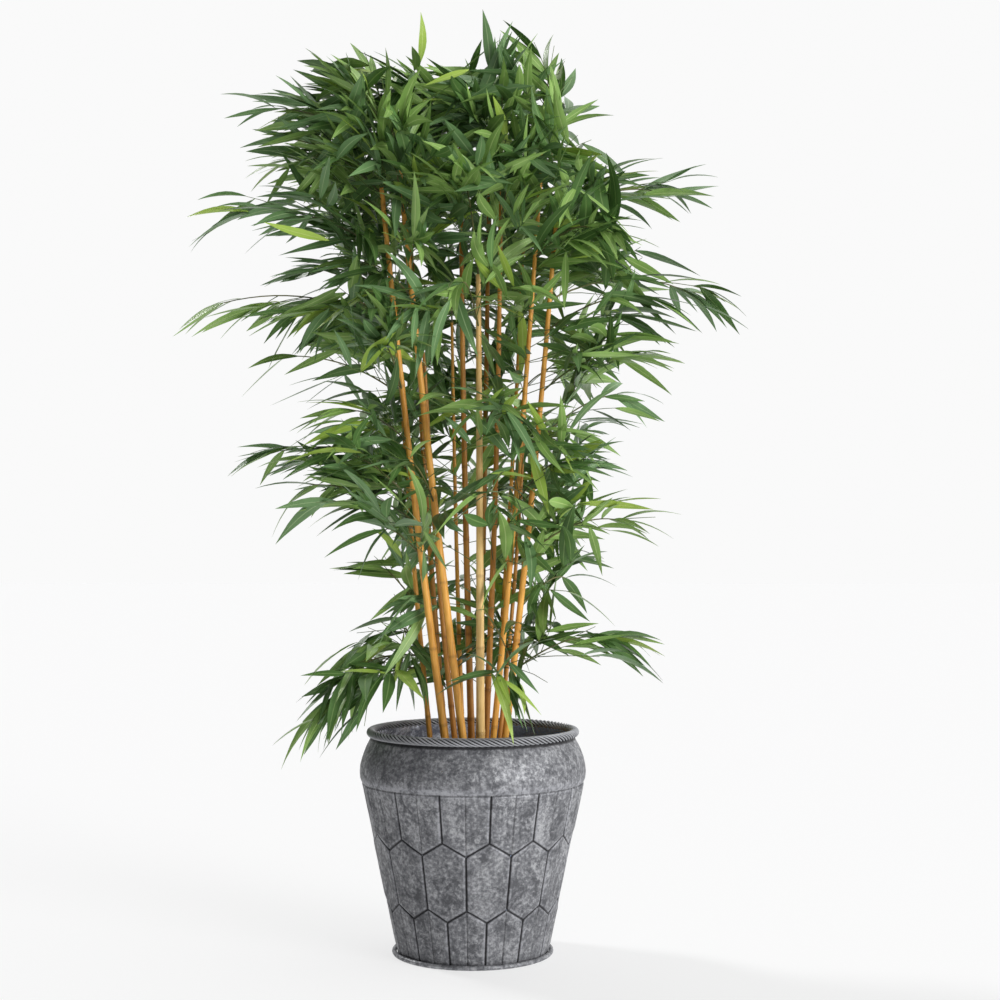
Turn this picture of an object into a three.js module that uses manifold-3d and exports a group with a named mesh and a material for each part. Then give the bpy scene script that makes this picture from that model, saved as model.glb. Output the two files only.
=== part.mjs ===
// A bamboo clump in a zinc planter: canes fan out of the potting mix, with tiers of leaf sprays round them.
// Millimetres, +Z up. The origin is the centre of the planter's flat underside, and the front faces -Y.
import * as THREE from 'three';
import Module from 'manifold-3d';

const wasm = await Module();
wasm.setup();

const seatGap = 0.3; // left between pieces that touch
const joinTolerance = 0.05; // the finest detail kept where leaves and twigs are joined
const cornerGap = 0.02; // joined solids have no two corners closer than this
const degree = Math.PI / 180;

// Planter: a tapered shell with a bulging band on top, pressed into three rows of long six-sided panels.
const planter = {
  panels: 14, // round the planter
  panelTurn: 9 * degree, // bearing of the first panel's centre, from the front towards the right
  sidesPerPanel: 4,
  wall: 3,
  footRadius: 148.5,
  taper: 0.212, // radius gained for each millimetre of height
  creaseHeight: 337, // where the panels end and the band begins
  seamDepth: 2,
  pillow: 1, // how far the middle of a panel stands out
  lowSeam: { centre: 92, edge: 115 }, // heights of the zigzag seams at a panel's centre and at its edge
  highSeam: { centre: 246, edge: 220 },
  middles: { low: 50, centre: 168, high: 292 },
  band: [[344, 223], [358, 224.5], [384, 221], [406, 213], [427.2, 202]], // height, radius
};
const rope = { ringRadius: 203, radius: 9.3, height: 435.6 };
const footRing = { ringRadius: 155.4, radius: 5, height: 4.35 };
const ringFaces = { across: 6, round: 42 };
// The space of the band and rim, in blocks round the planter, that the lowest leaves keep clear of.
const rimSpace = { from: 196, to: 226, bottom: 330, shoulder: 405, slant: 12, top: 445, blocks: 28 };
const soil = { top: 385, wallGap: 0.5 };

// Canes: where each stands on the mix, where its tip is, and its radius at the foot.
const caneShape = { sides: 8, tipShare: 0.55, steps: 5, bow: 7 };
const canes = [
  { foot: [-82, 12], tip: [-158, 46, 1330], radius: 5.6 },
  { foot: [-49, -46], tip: [-178, -112, 1500], radius: 8.2 },
  { foot: [-32, -10], tip: [-98, -22, 1190], radius: 6.2 },
  { foot: [-14, -62], tip: [-146, -128, 1570], radius: 8.2 },
  { foot: [-2, 22], tip: [-26, 38, 1640], radius: 7.2 },
  { foot: [15, -66], tip: [10, -122, 1330], radius: 8.8 },
  { foot: [24, -20], tip: [56, -34, 1560], radius: 6.6 },
  { foot: [36, -48], tip: [138, -92, 1610], radius: 6.4 },
  { foot: [59, -34], tip: [166, -78, 1480], radius: 7.2 },
  { foot: [50, 12], tip: [108, 44, 1120], radius: 4.8 },
  { foot: [-20, 46], tip: [-44, 118, 1270], radius: 5.2 },
  { foot: [12, 68], tip: [34, 168, 1580], radius: 7 },
  { foot: [40, 42], tip: [104, 112, 1420], radius: 5.4 },
  { foot: [-54, 42], tip: [-132, 136, 1480], radius: 6.4 },
];

// Crown: each tier of sprays has the height where its stems leave the canes, its reach from the planter's
// axis, and the height of its outermost leaf tips, to the left, to the right and in depth. A spray is [cane,
// bearing, share of the reach, or 1], where 0 is to the right, 90 the back, 180 the left and 270 the front.
const tiers = [
  { height: 560, reach: [400, 385, 270], tips: [408, 592, 480],
    sprays: [[1, 180], [9, 0], [8, 290]] },
  { height: 690, reach: [300, 300, 290], tips: [780, 745, 720],
    sprays: [[1, 168], [9, 12]] },
  { height: 790, reach: [400, 430, 330], tips: [824, 866, 840],
    sprays: [[2, 196], [9, 345], [10, 48], [14, 128]] },
  { height: 890, reach: [494, 320, 350], tips: [950, 980, 940],
    sprays: [[1, 178], [8, 318], [4, 244], [12, 84]] },
  { height: 1010, reach: [400, 396, 380], tips: [1020, 1062, 1040],
    sprays: [[2, 208], [9, 8], [6, 284]] },
  { height: 1110, reach: [480, 430, 390], tips: [1108, 1180, 1160],
    sprays: [[1, 172], [9, 342], [13, 52], [2, 238, 0.9]] },
  { height: 1230, reach: [598, 460, 400], tips: [1218, 1230, 1270],
    sprays: [[2, 184], [9, 350], [6, 264], [14, 122]] },
  { height: 1290, reach: [450, 556, 400], tips: [1330, 1296, 1350],
    sprays: [[4, 206, 0.8], [9, 6]] },
  { height: 1370, reach: [574, 500, 400], tips: [1450, 1380, 1430],
    sprays: [[2, 188], [8, 322, 0.9], [12, 70]] },
  { height: 1450, reach: [480, 504, 400], tips: [1550, 1545, 1540],
    sprays: [[14, 158], [9, 4], [4, 238, 0.8], [7, 288, 0.8]] },
  { height: 1540, reach: [506, 330, 360], tips: [1708, 1650, 1660],
    sprays: [[4, 184], [8, 345], [12, 58], [5, 136, 0.8]] },
  { height: 1600, reach: [420, 270, 300], tips: [1740, 1700, 1720],
    sprays: [[5, 222, 0.7]] },
  { height: 1660, reach: [262, 214, 170], tips: [1800, 1780, 1840],
    sprays: [[4, 186], [8, 10], [7, 276], [12, 96]] },
];

// Pairs are the least and the most of something that differs from one leaf, twig or spray to the next.
const stem = {
  radius: 3.4,
  tipShare: 0.7, // radius at its tip, as a share of that at its foot
  roll: 60 * degree,
  steps: 5,
  bend: 0.42, // how far out along its span it keeps its first direction
  droop: 0.27,
  attempts: 6, // at a place for the leaf at its end
  lift: 0.12, // of that leaf, at each attempt
  leafRoll: [-0.8, 0.8],
  lastLeaves: [0.97, 0.92], // where its last pair of leaves stands, as shares of its length
  pair: { turns: [0.9, 1.3], droop: 0.3, sizes: [0.8, 1.1] },
};
const twig = {
  radius: 1.2,
  tipShare: 0.8,
  spots: [0.1, 0.28, 0.48, 0.7], // along the stem
  length: 88,
  lengthSpread: [0.6, 1.1],
  side: 42 * degree,
  sideSpread: [0.7, 1.25],
  droop: [-0.2, 0.3],
  roll: [-1.2, 1.2],
  attempts: 4,
  endTurn: [-0.1, 0.1], // of the leaf at its end
  endDroop: [0, 0.4],
  endSizes: [0.9, 1.1],
  pairSteps: [0.7, 1.7], // from its end back to the roots of its pair of leaves
  pair: { turns: [0.9, 1.5], droop: 0.4, sizes: [0.8, 1.05] },
};
const leaf = {
  length: 155,
  width: 34,
  widthSpread: [0.95, 1.25],
  thickness: 2.4,
  widest: 0.4, // share of its length from the root
  arch: 0.07,
  rootStep: 9, // between the roots of one fan
  rootShare: 0.08, // the leaves of one fan may meet this close to their roots
  gap: 0.6, // from the leaves of other sprays
  ownGap: 0.3, // from the leaves of its own spray
  spread: 30 * degree,
  roll: [-0.4, 0.4],
  rootScale: 1.2, // size of the leaves where a spray begins
  tipScale: 0.8, // and at its end
  attempts: 3,
};

const colours = {
  zinc: { color: 0x7d7e84, roughness: 0.55, metalness: 0.6 },
  mix: { color: 0x3b2c20, roughness: 1, metalness: 0 },
  cane: { color: 0xc68a45, roughness: 0.45, metalness: 0 },
  leafDark: { color: 0x2f5a2c, roughness: 0.6, metalness: 0 },
  leafMid: { color: 0x47773a, roughness: 0.6, metalness: 0 },
};
const materials = {};
for (const [name, look] of Object.entries(colours)) materials[name] = new THREE.MeshStandardMaterial(look);

const plant = new THREE.Group();

function addMesh(name, geometry, material) {
  const mesh = new THREE.Mesh(geometry, material);
  mesh.name = name;
  plant.add(mesh);
  return mesh;
}

// The same numbers on every run, so that each spray always grows the same way.
function randomFrom(seed) {
  let state = seed;
  return (low, high) => {
    state = (state * 1664525 + 1013904223) % 4294967296;
    return low + ((high - low) * state) / 4294967296;
  };
}

// Planter

const sidesRound = planter.panels * planter.sidesPerPanel;

// A profile of [height, radius] pairs turned round the vertical axis, its corners lined up with the panels.
function turned(profile) {
  const points = profile.map(([height, radius]) => new THREE.Vector2(radius, height));
  const geometry = new THREE.LatheGeometry(points, sidesRound, planter.panelTurn);
  return geometry.rotateX(Math.PI / 2);
}

// Share of the way from a panel's centre, 0, to its edge, 1, at a bearing measured from the front.
function awayFromCentre(bearing) {
  const panelAngle = (2 * Math.PI) / planter.panels;
  const turns = (bearing - planter.panelTurn) / panelAngle;
  return 2 * Math.abs(turns - Math.round(turns));
}

// Bends the plain seam rows into zigzags, sinks the seams and lets the panels stand out between them.
function pressPanels(geometry) {
  const position = geometry.getAttribute('position');
  const { lowSeam, highSeam, middles, seamDepth, pillow } = planter;
  const near = (a, b) => Math.abs(a - b) < 0.01;
  for (let i = 0; i < position.count; i += 1) {
    const x = position.getX(i);
    const y = position.getY(i);
    const height = position.getZ(i);
    const radius = Math.hypot(x, y);
    if (radius === 0) continue;
    const away = awayFromCentre(Math.atan2(x, -y));
    let newHeight = height;
    let rise = 0;
    const seam = [lowSeam, highSeam].find(({ centre }) => near(height, centre));
    if (seam) {
      newHeight = THREE.MathUtils.lerp(seam.centre, seam.edge, away);
      rise = -seamDepth;
    }
    if (near(height, middles.centre)) rise = THREE.MathUtils.lerp(pillow, -seamDepth, away ** 2);
    if (near(height, middles.low) || near(height, middles.high)) {
      rise = THREE.MathUtils.lerp(-seamDepth, pillow, Math.sqrt(away));
    }
    const grown = (radius + planter.taper * (newHeight - height) + rise) / radius;
    position.setXYZ(i, x * grown, y * grown, newHeight);
  }
  return geometry;
}

function wallRadius(height) {
  return planter.footRadius + planter.taper * height;
}

function planterGeometry() {
  const { wall, band, middles, lowSeam, highSeam, creaseHeight } = planter;
  const below = [0, middles.low, lowSeam.centre, middles.centre];
  const above = [highSeam.centre, middles.high, creaseHeight];
  const outside = [...below, ...above].map((height) => [height, wallRadius(height)]);
  const inside = [band[4], band[2], band[0]].map(([height, radius]) => [height, radius - wall]);
  const insideFoot = [[creaseHeight - wall, wallRadius(creaseHeight) - wall - planter.seamDepth],
    [wall, wallRadius(wall) - wall - planter.seamDepth], [wall, 0]];
  return pressPanels(turned([[0, 0], ...outside, ...band, ...inside, ...insideFoot]));
}

function soilGeometry() {
  const { wall, creaseHeight, band } = planter;
  const inset = wall + soil.wallGap;
  const bottom = wall + seatGap;
  const topRadius = THREE.MathUtils.mapLinear(soil.top, band[2][0], band[3][0], band[2][1], band[3][1]);
  return turned([
    [bottom, 0],
    [bottom, wallRadius(wall) - inset - planter.seamDepth],
    [creaseHeight - wall, wallRadius(creaseHeight) - inset - planter.seamDepth],
    [soil.top, topRadius - inset],
    [soil.top, 0],
  ]);
}

function ringGeometry({ ringRadius, radius, height }) {
  const ring = new THREE.TorusGeometry(ringRadius, radius, ringFaces.across, ringFaces.round);
  return ring.translate(0, 0, height);
}

addMesh('pot_body', planterGeometry(), materials.zinc);
addMesh('pot_rope_rim', ringGeometry(rope), materials.zinc);
addMesh('pot_foot_ring', ringGeometry(footRing), materials.zinc);
addMesh('potting_mix', soilGeometry(), materials.mix);

// Shapes: lists of points and the triangles between them. Canes, stems and twigs are rings of points joined
// by flat faces, and a leaf is four points round its widest part with a point at each end.

function loft(rings) {
  const sides = rings[0].length;
  const faces = [];
  for (let r = 0; r + 1 < rings.length; r += 1) {
    for (let i = 0; i < sides; i += 1) {
      const a = r * sides + i;
      const b = r * sides + ((i + 1) % sides);
      faces.push([a, b, b + sides], [a, b + sides, a + sides]);
    }
  }
  const last = (rings.length - 1) * sides;
  for (let i = 1; i + 1 < sides; i += 1) faces.push([0, i + 1, i], [last, last + i, last + i + 1]);
  return { points: rings.flat(), faces };
}

// A ring round a centre, in the plane of a side and an up direction. Its first point is the lowest.
function ringRound(centre, { side, up }, radius, sides) {
  const ring = [];
  for (let i = 0; i < sides; i += 1) {
    const angle = (2 * Math.PI * i) / sides;
    const out = side.clone().multiplyScalar(Math.sin(angle)).addScaledVector(up, -Math.cos(angle));
    ring.push(centre.clone().addScaledVector(out, radius));
  }
  return ring;
}

// The side and up directions of something that runs along a direction, rolled round it from an upward one.
function frameAlong(along, roll = 0, upward = new THREE.Vector3(0, 0, 1)) {
  const side = upward.clone().cross(along).normalize().applyAxisAngle(along, roll);
  return { along, side, up: along.clone().cross(side).normalize() };
}

// The four points round a leaf's widest part, lowest first, and its tip.
function bladePoints(root, frame, length, width) {
  const middle = root.clone().addScaledVector(frame.along, length * leaf.widest);
  middle.addScaledVector(frame.up, length * leaf.arch);
  const tip = root.clone().addScaledVector(frame.along, length);
  const offsets = [[0, -leaf.thickness / 2], [width / 2, 0], [0, leaf.thickness / 2], [-width / 2, 0]];
  const round = offsets.map(([across, out]) => (
    middle.clone().addScaledVector(frame.side, across).addScaledVector(frame.up, out)));
  return [...round, tip];
}

const towardsTip = [[0, 1, 4], [1, 2, 4], [2, 3, 4], [3, 0, 4]];

function leafShape(root, blade) {
  const fromRoot = [[5, 1, 0], [5, 2, 1], [5, 3, 2], [5, 0, 3]];
  return { points: [...blade, root], faces: [...towardsTip, ...fromRoot] };
}

// A three-sided stem or twig that runs on into the leaf at its end.
function stemWithLeaf(rings, blade) {
  const stalk = loft(rings);
  const neck = stalk.points.length - 3;
  const first = stalk.points.length;
  const walls = stalk.faces.filter((face) => !face.every((corner) => corner >= neck));
  const onwards = [[-3, -2, 1], [-3, 1, 0], [-2, -1, 2], [-2, 2, 1], [-1, 3, 2], [-1, 0, 3], [-1, -3, 0]];
  const blades = [...onwards, ...towardsTip].map((face) => face.map((corner) => corner + first));
  return { points: [...stalk.points, ...blade], faces: [...walls, ...blades] };
}

function geometryOf({ points, faces }) {
  const geometry = new THREE.BufferGeometry();
  const positions = points.flatMap((point) => point.toArray());
  geometry.setAttribute('position', new THREE.Float32BufferAttribute(positions, 3));
  geometry.setIndex(faces.flat());
  return geometry;
}

// Clearance: two convex pieces are clear of each other if some direction parts them by the gap.

function convexPiece({ points, faces }, node) {
  const between = (a, b) => points[b].clone().sub(points[a]);
  const normals = faces.map(([a, b, c]) => between(a, b).cross(between(a, c)).normalize());
  const sides = faces.flatMap(([a, b, c]) => [[a, b], [b, c], [c, a]]).filter(([from, to]) => from < to);
  const edges = sides.map(([from, to]) => between(from, to).normalize());
  return { points, normals, edges, node, box: new THREE.Box3().setFromPoints(points) };
}

function gapAlong(a, b, direction) {
  let [lowA, highA, lowB, highB] = [Infinity, -Infinity, Infinity, -Infinity];
  for (const point of a.points) {
    const along = point.dot(direction);
    lowA = Math.min(lowA, along);
    highA = Math.max(highA, along);
  }
  for (const point of b.points) {
    const along = point.dot(direction);
    lowB = Math.min(lowB, along);
    highB = Math.max(highB, along);
  }
  return Math.max(lowB - highA, lowA - highB);
}

function areClear(a, b, gap) {
  if (!a.box.clone().expandByScalar(gap).intersectsBox(b.box)) return true;
  for (const normal of [...a.normals, ...b.normals]) if (gapAlong(a, b, normal) > gap) return true;
  const across = new THREE.Vector3();
  for (const edgeA of a.edges) {
    for (const edgeB of b.edges) {
      across.crossVectors(edgeA, edgeB);
      if (across.lengthSq() > 1e-6 && gapAlong(a, b, across.normalize()) > gap) return true;
    }
  }
  return false;
}

function isFree(piece, others, gap) {
  return others.every((other) => areClear(piece, other, gap));
}

// Canes

function caneAt(cane, height) {
  const share = (height - soil.top) / (cane.tip[2] - soil.top);
  const bow = caneShape.bow * Math.sin(Math.PI * share);
  const x = THREE.MathUtils.lerp(cane.foot[0], cane.tip[0], share);
  const y = THREE.MathUtils.lerp(cane.foot[1], cane.tip[1], share);
  const out = Math.hypot(cane.tip[0], cane.tip[1]);
  const radius = cane.radius * THREE.MathUtils.lerp(1, caneShape.tipShare, share);
  const point = new THREE.Vector3(x + (bow * cane.tip[0]) / out, y + (bow * cane.tip[1]) / out, height);
  return { point, radius };
}

const upright = { side: new THREE.Vector3(0, 1, 0), up: new THREE.Vector3(-1, 0, 0) };

function caneRings(cane) {
  const rings = [];
  for (let i = 0; i <= caneShape.steps; i += 1) {
    const height = THREE.MathUtils.lerp(soil.top + seatGap, cane.tip[2], i / caneShape.steps);
    const { point, radius } = caneAt(cane, height);
    rings.push(ringRound(point, upright, radius, caneShape.sides));
  }
  return rings;
}

const placed = []; // every convex piece so far, with its node's name, to keep the nodes clear of each other

function placeRun(rings, name) {
  rings.slice(1).forEach((ring, r) => placed.push(convexPiece(loft([rings[r], ring]), name)));
}

canes.forEach((cane, index) => {
  const name = `cane_${String(index + 1).padStart(2, '0')}`;
  const rings = caneRings(cane);
  addMesh(name, geometryOf(loft(rings)), materials.cane);
  placeRun(rings, name);
});

function rimRing(turn) {
  const { from, to, bottom, shoulder, slant, top } = rimSpace;
  const corners = [[from, bottom], [to, bottom], [to, shoulder], [to - slant, top], [from, top]];
  const outwards = new THREE.Vector3(Math.cos(turn), Math.sin(turn), 0);
  return corners.map(([radius, height]) => outwards.clone().multiplyScalar(radius).setZ(height));
}

for (let i = 0; i < rimSpace.blocks; i += 1) {
  const turns = [i, i + 1].map((k) => (2 * Math.PI * k) / rimSpace.blocks);
  placeRun(turns.map(rimRing), 'pot_body');
}

// Sprays

// Where the outermost leaf tip of a spray lies: on the crown's outline at its tier and bearing.
function outlinePoint(tier, bearing, share) {
  const [left, right, depth] = tier.reach;
  const [leftTip, rightTip, depthTip] = tier.tips;
  const towards = Math.cos(bearing * degree);
  const across = Math.sin(bearing * degree);
  const sideReach = towards > 0 ? right : left;
  const sideTip = towards > 0 ? rightTip : leftTip;
  const reach = share / Math.hypot(towards / sideReach, across / depth);
  const height = THREE.MathUtils.lerp(depthTip, sideTip, towards * towards);
  return new THREE.Vector3(towards * reach, across * reach, height);
}

// A spray's stem: an arc from the cane's side, or the top of a shorter cane, to a leaf short of the outline.
function stemCurve(tier, cane, target) {
  const height = Math.min(tier.height, cane.tip[2]);
  const { point: start, radius } = caneAt(cane, height);
  const outwards = new THREE.Vector3(target.x - start.x, target.y - start.y, 0).normalize();
  const begin = outwards.clone();
  if (tier.height > cane.tip[2]) {
    begin.setZ(2).normalize();
    start.z += seatGap + 0.5 * stem.radius * Math.hypot(begin.x, begin.y);
  } else {
    begin.setZ(Math.max(0.1, 0.4 + (1.2 * (target.z - start.z)) / start.distanceTo(target))).normalize();
    start.addScaledVector(outwards, radius + seatGap + stem.radius * begin.z);
  }
  const span = target.distanceTo(start);
  const arriving = target.clone().sub(start).normalize();
  arriving.z -= stem.droop;
  const end = target.clone().addScaledVector(arriving.normalize(), -leaf.length * leaf.tipScale);
  const bend = start.clone().addScaledVector(begin, span * stem.bend);
  return new THREE.QuadraticBezierCurve3(start, bend, end);
}

// The straight runs of a stem, as a curve that its twigs can be placed along.
class PolyLine extends THREE.Curve {
  constructor(points) {
    super();
    this.points = points;
  }

  getPoint(share) {
    const place = share * (this.points.length - 1);
    const from = Math.min(Math.floor(place), this.points.length - 2);
    return this.points[from].clone().lerp(this.points[from + 1], place - from);
  }
}

// Stems are placed before any leaf, so that the leaves of every spray can keep clear of them.
function planStem(tier, cane, target, name) {
  const curve = new PolyLine(stemCurve(tier, cane, target).getPoints(stem.steps));
  const rings = [];
  for (let i = 0; i <= stem.steps; i += 1) {
    const share = i / stem.steps;
    const radius = stem.radius * THREE.MathUtils.lerp(1, stem.tipShare, share);
    rings.push(ringRound(curve.getPoint(share), frameAlong(curve.getTangent(share), stem.roll), radius, 3));
  }
  placeRun(rings, name);
  return { name, target, curve, rings };
}

function solidOf(shape) {
  const mesh = new wasm.Mesh({
    numProp: 3,
    vertProperties: new Float32Array(shape.points.flatMap((point) => point.toArray())),
    triVerts: new Uint32Array(shape.faces.flat()),
  });
  return new wasm.Manifold(mesh);
}

// Joined solids, or nothing where the joint would leave corners nearly on top of each other.
function joinCleanly(solid, added) {
  const joined = solid.add(added).simplify(joinTolerance);
  const { vertProperties } = joined.getMesh();
  const spots = new Set();
  for (let i = 0; i < vertProperties.length; i += 3) {
    spots.add([0, 1, 2].map((k) => Math.round(vertProperties[i + k] / cornerGap)).join());
  }
  return spots.size === vertProperties.length / 3 ? joined : null;
}

function meshGeometry(solid) {
  const mesh = solid.getMesh();
  const geometry = new THREE.BufferGeometry();
  geometry.setAttribute('position', new THREE.BufferAttribute(mesh.vertProperties, 3));
  geometry.setIndex(new THREE.BufferAttribute(mesh.triVerts, 1));
  return geometry;
}

// A direction turned from another within the plane of its frame, and let hang a little.
function fanDirection({ along, side }, turn, droop) {
  const way = along.clone().multiplyScalar(Math.cos(turn)).addScaledVector(side, Math.sin(turn));
  way.z -= droop;
  return way.normalize();
}

// A leaf's room: the whole of it, for other sprays, and all but its root, for the leaves of its own spray.
function leafRoom(root, blade, name) {
  const widestPart = blade[1].clone().lerp(blade[3], 0.5);
  const whole = convexPiece(leafShape(root, blade), name);
  const outer = convexPiece(leafShape(root.clone().lerp(widestPart, leaf.rootShare), blade), name);
  return { whole, outer };
}

function growSpray({ name, target, curve, rings }, seed, material) {
  const random = randomFrom(seed);
  const others = placed.filter((piece) => piece.node !== name);
  const own = []; // this spray's leaves, without the parts next to their roots
  const kept = [];
  let solid;

  // Joins a leaf to the spray where there is room for it, with the stem or twig that it is at the end of.
  const addLeaf = (root, frame, length, stalkRings = []) => {
    const width = leaf.width * (length / leaf.length) * random(...leaf.widthSpread);
    const blade = bladePoints(root, frame, length, width);
    const { whole, outer } = leafRoom(root, blade, name);
    const pieces = [whole];
    if (stalkRings.length === 2) pieces.push(convexPiece(loft(stalkRings), name));
    if (!pieces.every((piece) => isFree(piece, others, leaf.gap))) return false;
    if (!isFree(outer, own, leaf.ownGap)) return false;
    const added = solidOf(stalkRings.length ? stemWithLeaf(stalkRings, blade) : leafShape(root, blade));
    const joined = solid ? joinCleanly(solid, added) : added;
    if (!joined) return false;
    solid = joined;
    own.push(outer);
    kept.push(...pieces);
    return true;
  };

  // A leaf to each side of a frame, from the roots given for them.
  const addPair = (frame, roots, { turns, droop, size, sizes }) => {
    [1, -1].forEach((sideSign, i) => {
      for (let attempt = 0; attempt < leaf.attempts; attempt += 1) {
        const way = fanDirection(frame, sideSign * leaf.spread * random(...turns), random(0, droop));
        const leafFrame = frameAlong(way, random(...leaf.roll), frame.up);
        if (addLeaf(roots[i], leafFrame, size * random(...sizes))) break;
      }
    });
  };

  const stemEnd = curve.getPoint(1);
  let endFrame;
  for (let attempt = 0; attempt < stem.attempts && !solid; attempt += 1) {
    const way = target.clone().sub(stemEnd).normalize();
    way.z += stem.lift * attempt;
    endFrame = frameAlong(way.normalize(), stem.roll + random(...stem.leafRoll));
    addLeaf(stemEnd, endFrame, target.distanceTo(stemEnd), rings);
  }
  if (!solid) throw new Error(`${name} has no room for its stem`);
  const lastRoots = stem.lastLeaves.map((share) => curve.getPoint(share));
  addPair(endFrame, lastRoots, { ...stem.pair, size: leaf.length * leaf.tipScale });

  twig.spots.forEach((spot, i) => {
    const root = curve.getPoint(spot);
    const stemFrame = frameAlong(curve.getTangent(spot));
    const size = leaf.length * THREE.MathUtils.lerp(leaf.rootScale, leaf.tipScale, spot);
    for (let attempt = 0; attempt < twig.attempts; attempt += 1) {
      const turn = (i % 2 ? 1 : -1) * twig.side * random(...twig.sideSpread);
      const direction = fanDirection(stemFrame, turn, random(...twig.droop));
      const end = root.clone().addScaledVector(direction, twig.length * random(...twig.lengthSpread));
      const frame = frameAlong(direction, random(...twig.roll));
      const twigRings = [root, end].map((point, k) => (
        ringRound(point, frame, twig.radius * (k ? twig.tipShare : 1), 3)));
      const endWay = fanDirection(frame, random(...twig.endTurn), random(...twig.endDroop));
      const endSize = size * random(...twig.endSizes);
      if (!addLeaf(end, frameAlong(endWay, 0, frame.up), endSize, twigRings)) continue;
      const back = direction.clone().multiplyScalar(-leaf.rootStep);
      const roots = twig.pairSteps.map((steps) => end.clone().addScaledVector(back, steps));
      addPair(frame, roots, { ...twig.pair, size });
      break;
    }
  });
  placed.push(...kept);
  addMesh(name, meshGeometry(solid), material);
}

// Each spray is named after its tier, counted from the lowest, and the side it points to.
const sideNames = ['right', 'back', 'left', 'front'];
const plans = tiers.flatMap((tier, tierIndex) => {
  const used = {};
  return tier.sprays.map(([caneNumber, bearing, share = 1]) => {
    const sideName = sideNames[Math.round(bearing / 90) % 4];
    used[sideName] = (used[sideName] ?? 0) + 1;
    const suffix = used[sideName] > 1 ? `_${used[sideName]}` : '';
    const name = `foliage_${String(tierIndex + 1).padStart(2, '0')}_${sideName}${suffix}`;
    return planStem(tier, canes[caneNumber - 1], outlinePoint(tier, bearing, share), name);
  });
});
plans.forEach((plan, i) => growSpray(plan, 101 * i + 7, i % 2 ? materials.leafMid : materials.leafDark));

export default plant;
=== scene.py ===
import math
import random

import bmesh
import bpy
import numpy as np
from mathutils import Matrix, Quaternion, Vector, noise


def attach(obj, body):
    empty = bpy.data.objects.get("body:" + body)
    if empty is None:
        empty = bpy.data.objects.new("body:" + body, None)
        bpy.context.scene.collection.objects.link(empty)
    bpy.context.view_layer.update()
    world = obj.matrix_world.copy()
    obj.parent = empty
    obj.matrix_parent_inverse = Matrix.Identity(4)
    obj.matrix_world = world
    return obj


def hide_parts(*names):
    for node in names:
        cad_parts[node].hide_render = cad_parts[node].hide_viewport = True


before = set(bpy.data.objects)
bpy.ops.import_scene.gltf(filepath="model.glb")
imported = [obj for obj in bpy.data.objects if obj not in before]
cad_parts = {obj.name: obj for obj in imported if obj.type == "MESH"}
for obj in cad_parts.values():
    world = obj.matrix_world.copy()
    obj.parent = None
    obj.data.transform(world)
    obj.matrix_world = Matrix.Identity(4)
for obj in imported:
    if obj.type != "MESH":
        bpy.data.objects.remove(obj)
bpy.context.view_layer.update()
mm = 0.001


def setInputs(tree, node, inputs):
    for key, value in inputs.items():
        if isinstance(value, bpy.types.NodeSocket):
            tree.links.new(value, node.inputs[key])
        else:
            node.inputs[key].default_value = value


# adds a node and hands back its outputs
def addNode(tree, kind, inputs=None, **settings):
    node = tree.nodes.new(kind)
    for key, value in settings.items():
        setattr(node, key, value)
    setInputs(tree, node, inputs or {})
    return node.outputs


def calculate(tree, operation, first, second=0.0, clamp=False):
    return addNode(tree, "ShaderNodeMath", {0: first, 1: second}, operation=operation, use_clamp=clamp)[0]


def multiply(tree, first, second):
    return calculate(tree, "MULTIPLY", first, second)


def add(tree, first, second, clamp=False):
    return calculate(tree, "ADD", first, second, clamp)


def mixColour(tree, factor, first, second):
    colours = {6: first, 7: second}
    inputs = {key: value if isinstance(value, bpy.types.NodeSocket) else (*value, 1.0)
              for key, value in colours.items()}
    return addNode(tree, "ShaderNodeMix", {0: factor, **inputs}, data_type="RGBA")[2]


def remap(tree, value, fromLow, fromHigh, toLow=0.0, toHigh=1.0):
    inputs = {0: value, 1: fromLow, 2: fromHigh, 3: toLow, 4: toHigh}
    return addNode(tree, "ShaderNodeMapRange", inputs)[0]


def addNoise(tree, place, scale, detail, roughness=0.5, distortion=0.0):
    return addNode(tree, "ShaderNodeTexNoise", {
        "Vector": place, "Scale": scale, "Detail": detail, "Roughness": roughness,
        "Distortion": distortion})[0]


def objectPlace(tree):
    return addNode(tree, "ShaderNodeTexCoord")["Object"]


def readAttribute(tree, name):
    return addNode(tree, "ShaderNodeAttribute", attribute_name=name)["Fac"]


def newSocket(tree, label, inOut, value):
    kind = "Int" if isinstance(value, int) else "Float"
    if isinstance(value, tuple):
        kind = "Color" if len(value) == 4 else "Vector"
    kind = {"Geometry": "Geometry", "Material": "Material", "Colour": "Color"}.get(label, kind)
    socket = tree.interface.new_socket(name=label, in_out=inOut, socket_type="NodeSocket" + kind)
    if value is not None:
        socket.default_value = value


# inputs by name with their values, where a geometry and a material have none, and outputs by name
def newTree(name, kind, inputs, outputs):
    tree = bpy.data.node_groups.new(name, kind)
    for label, value in inputs.items():
        newSocket(tree, label, "INPUT", value)
    for label in outputs:
        newSocket(tree, label, "OUTPUT", None)
    return tree, tree.nodes.new("NodeGroupInput").outputs, tree.nodes.new("NodeGroupOutput").inputs


# every geometry tree ends in real meshes with their material
def endTree(tree, geometry, material, out):
    real = addNode(tree, "GeometryNodeRealizeInstances", {0: geometry})
    painted = addNode(tree, "GeometryNodeSetMaterial", {"Geometry": real[0], "Material": material})
    tree.links.new(painted[0], out["Geometry"])
    return tree


def newMaterial(name):
    material = bpy.data.materials.new(name)
    material.use_nodes = True
    return material, material.node_tree, material.node_tree.nodes["Principled BSDF"]


def useGroup(tree, group, inputs):
    return addNode(tree, "ShaderNodeGroup", inputs, node_tree=group)


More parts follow.
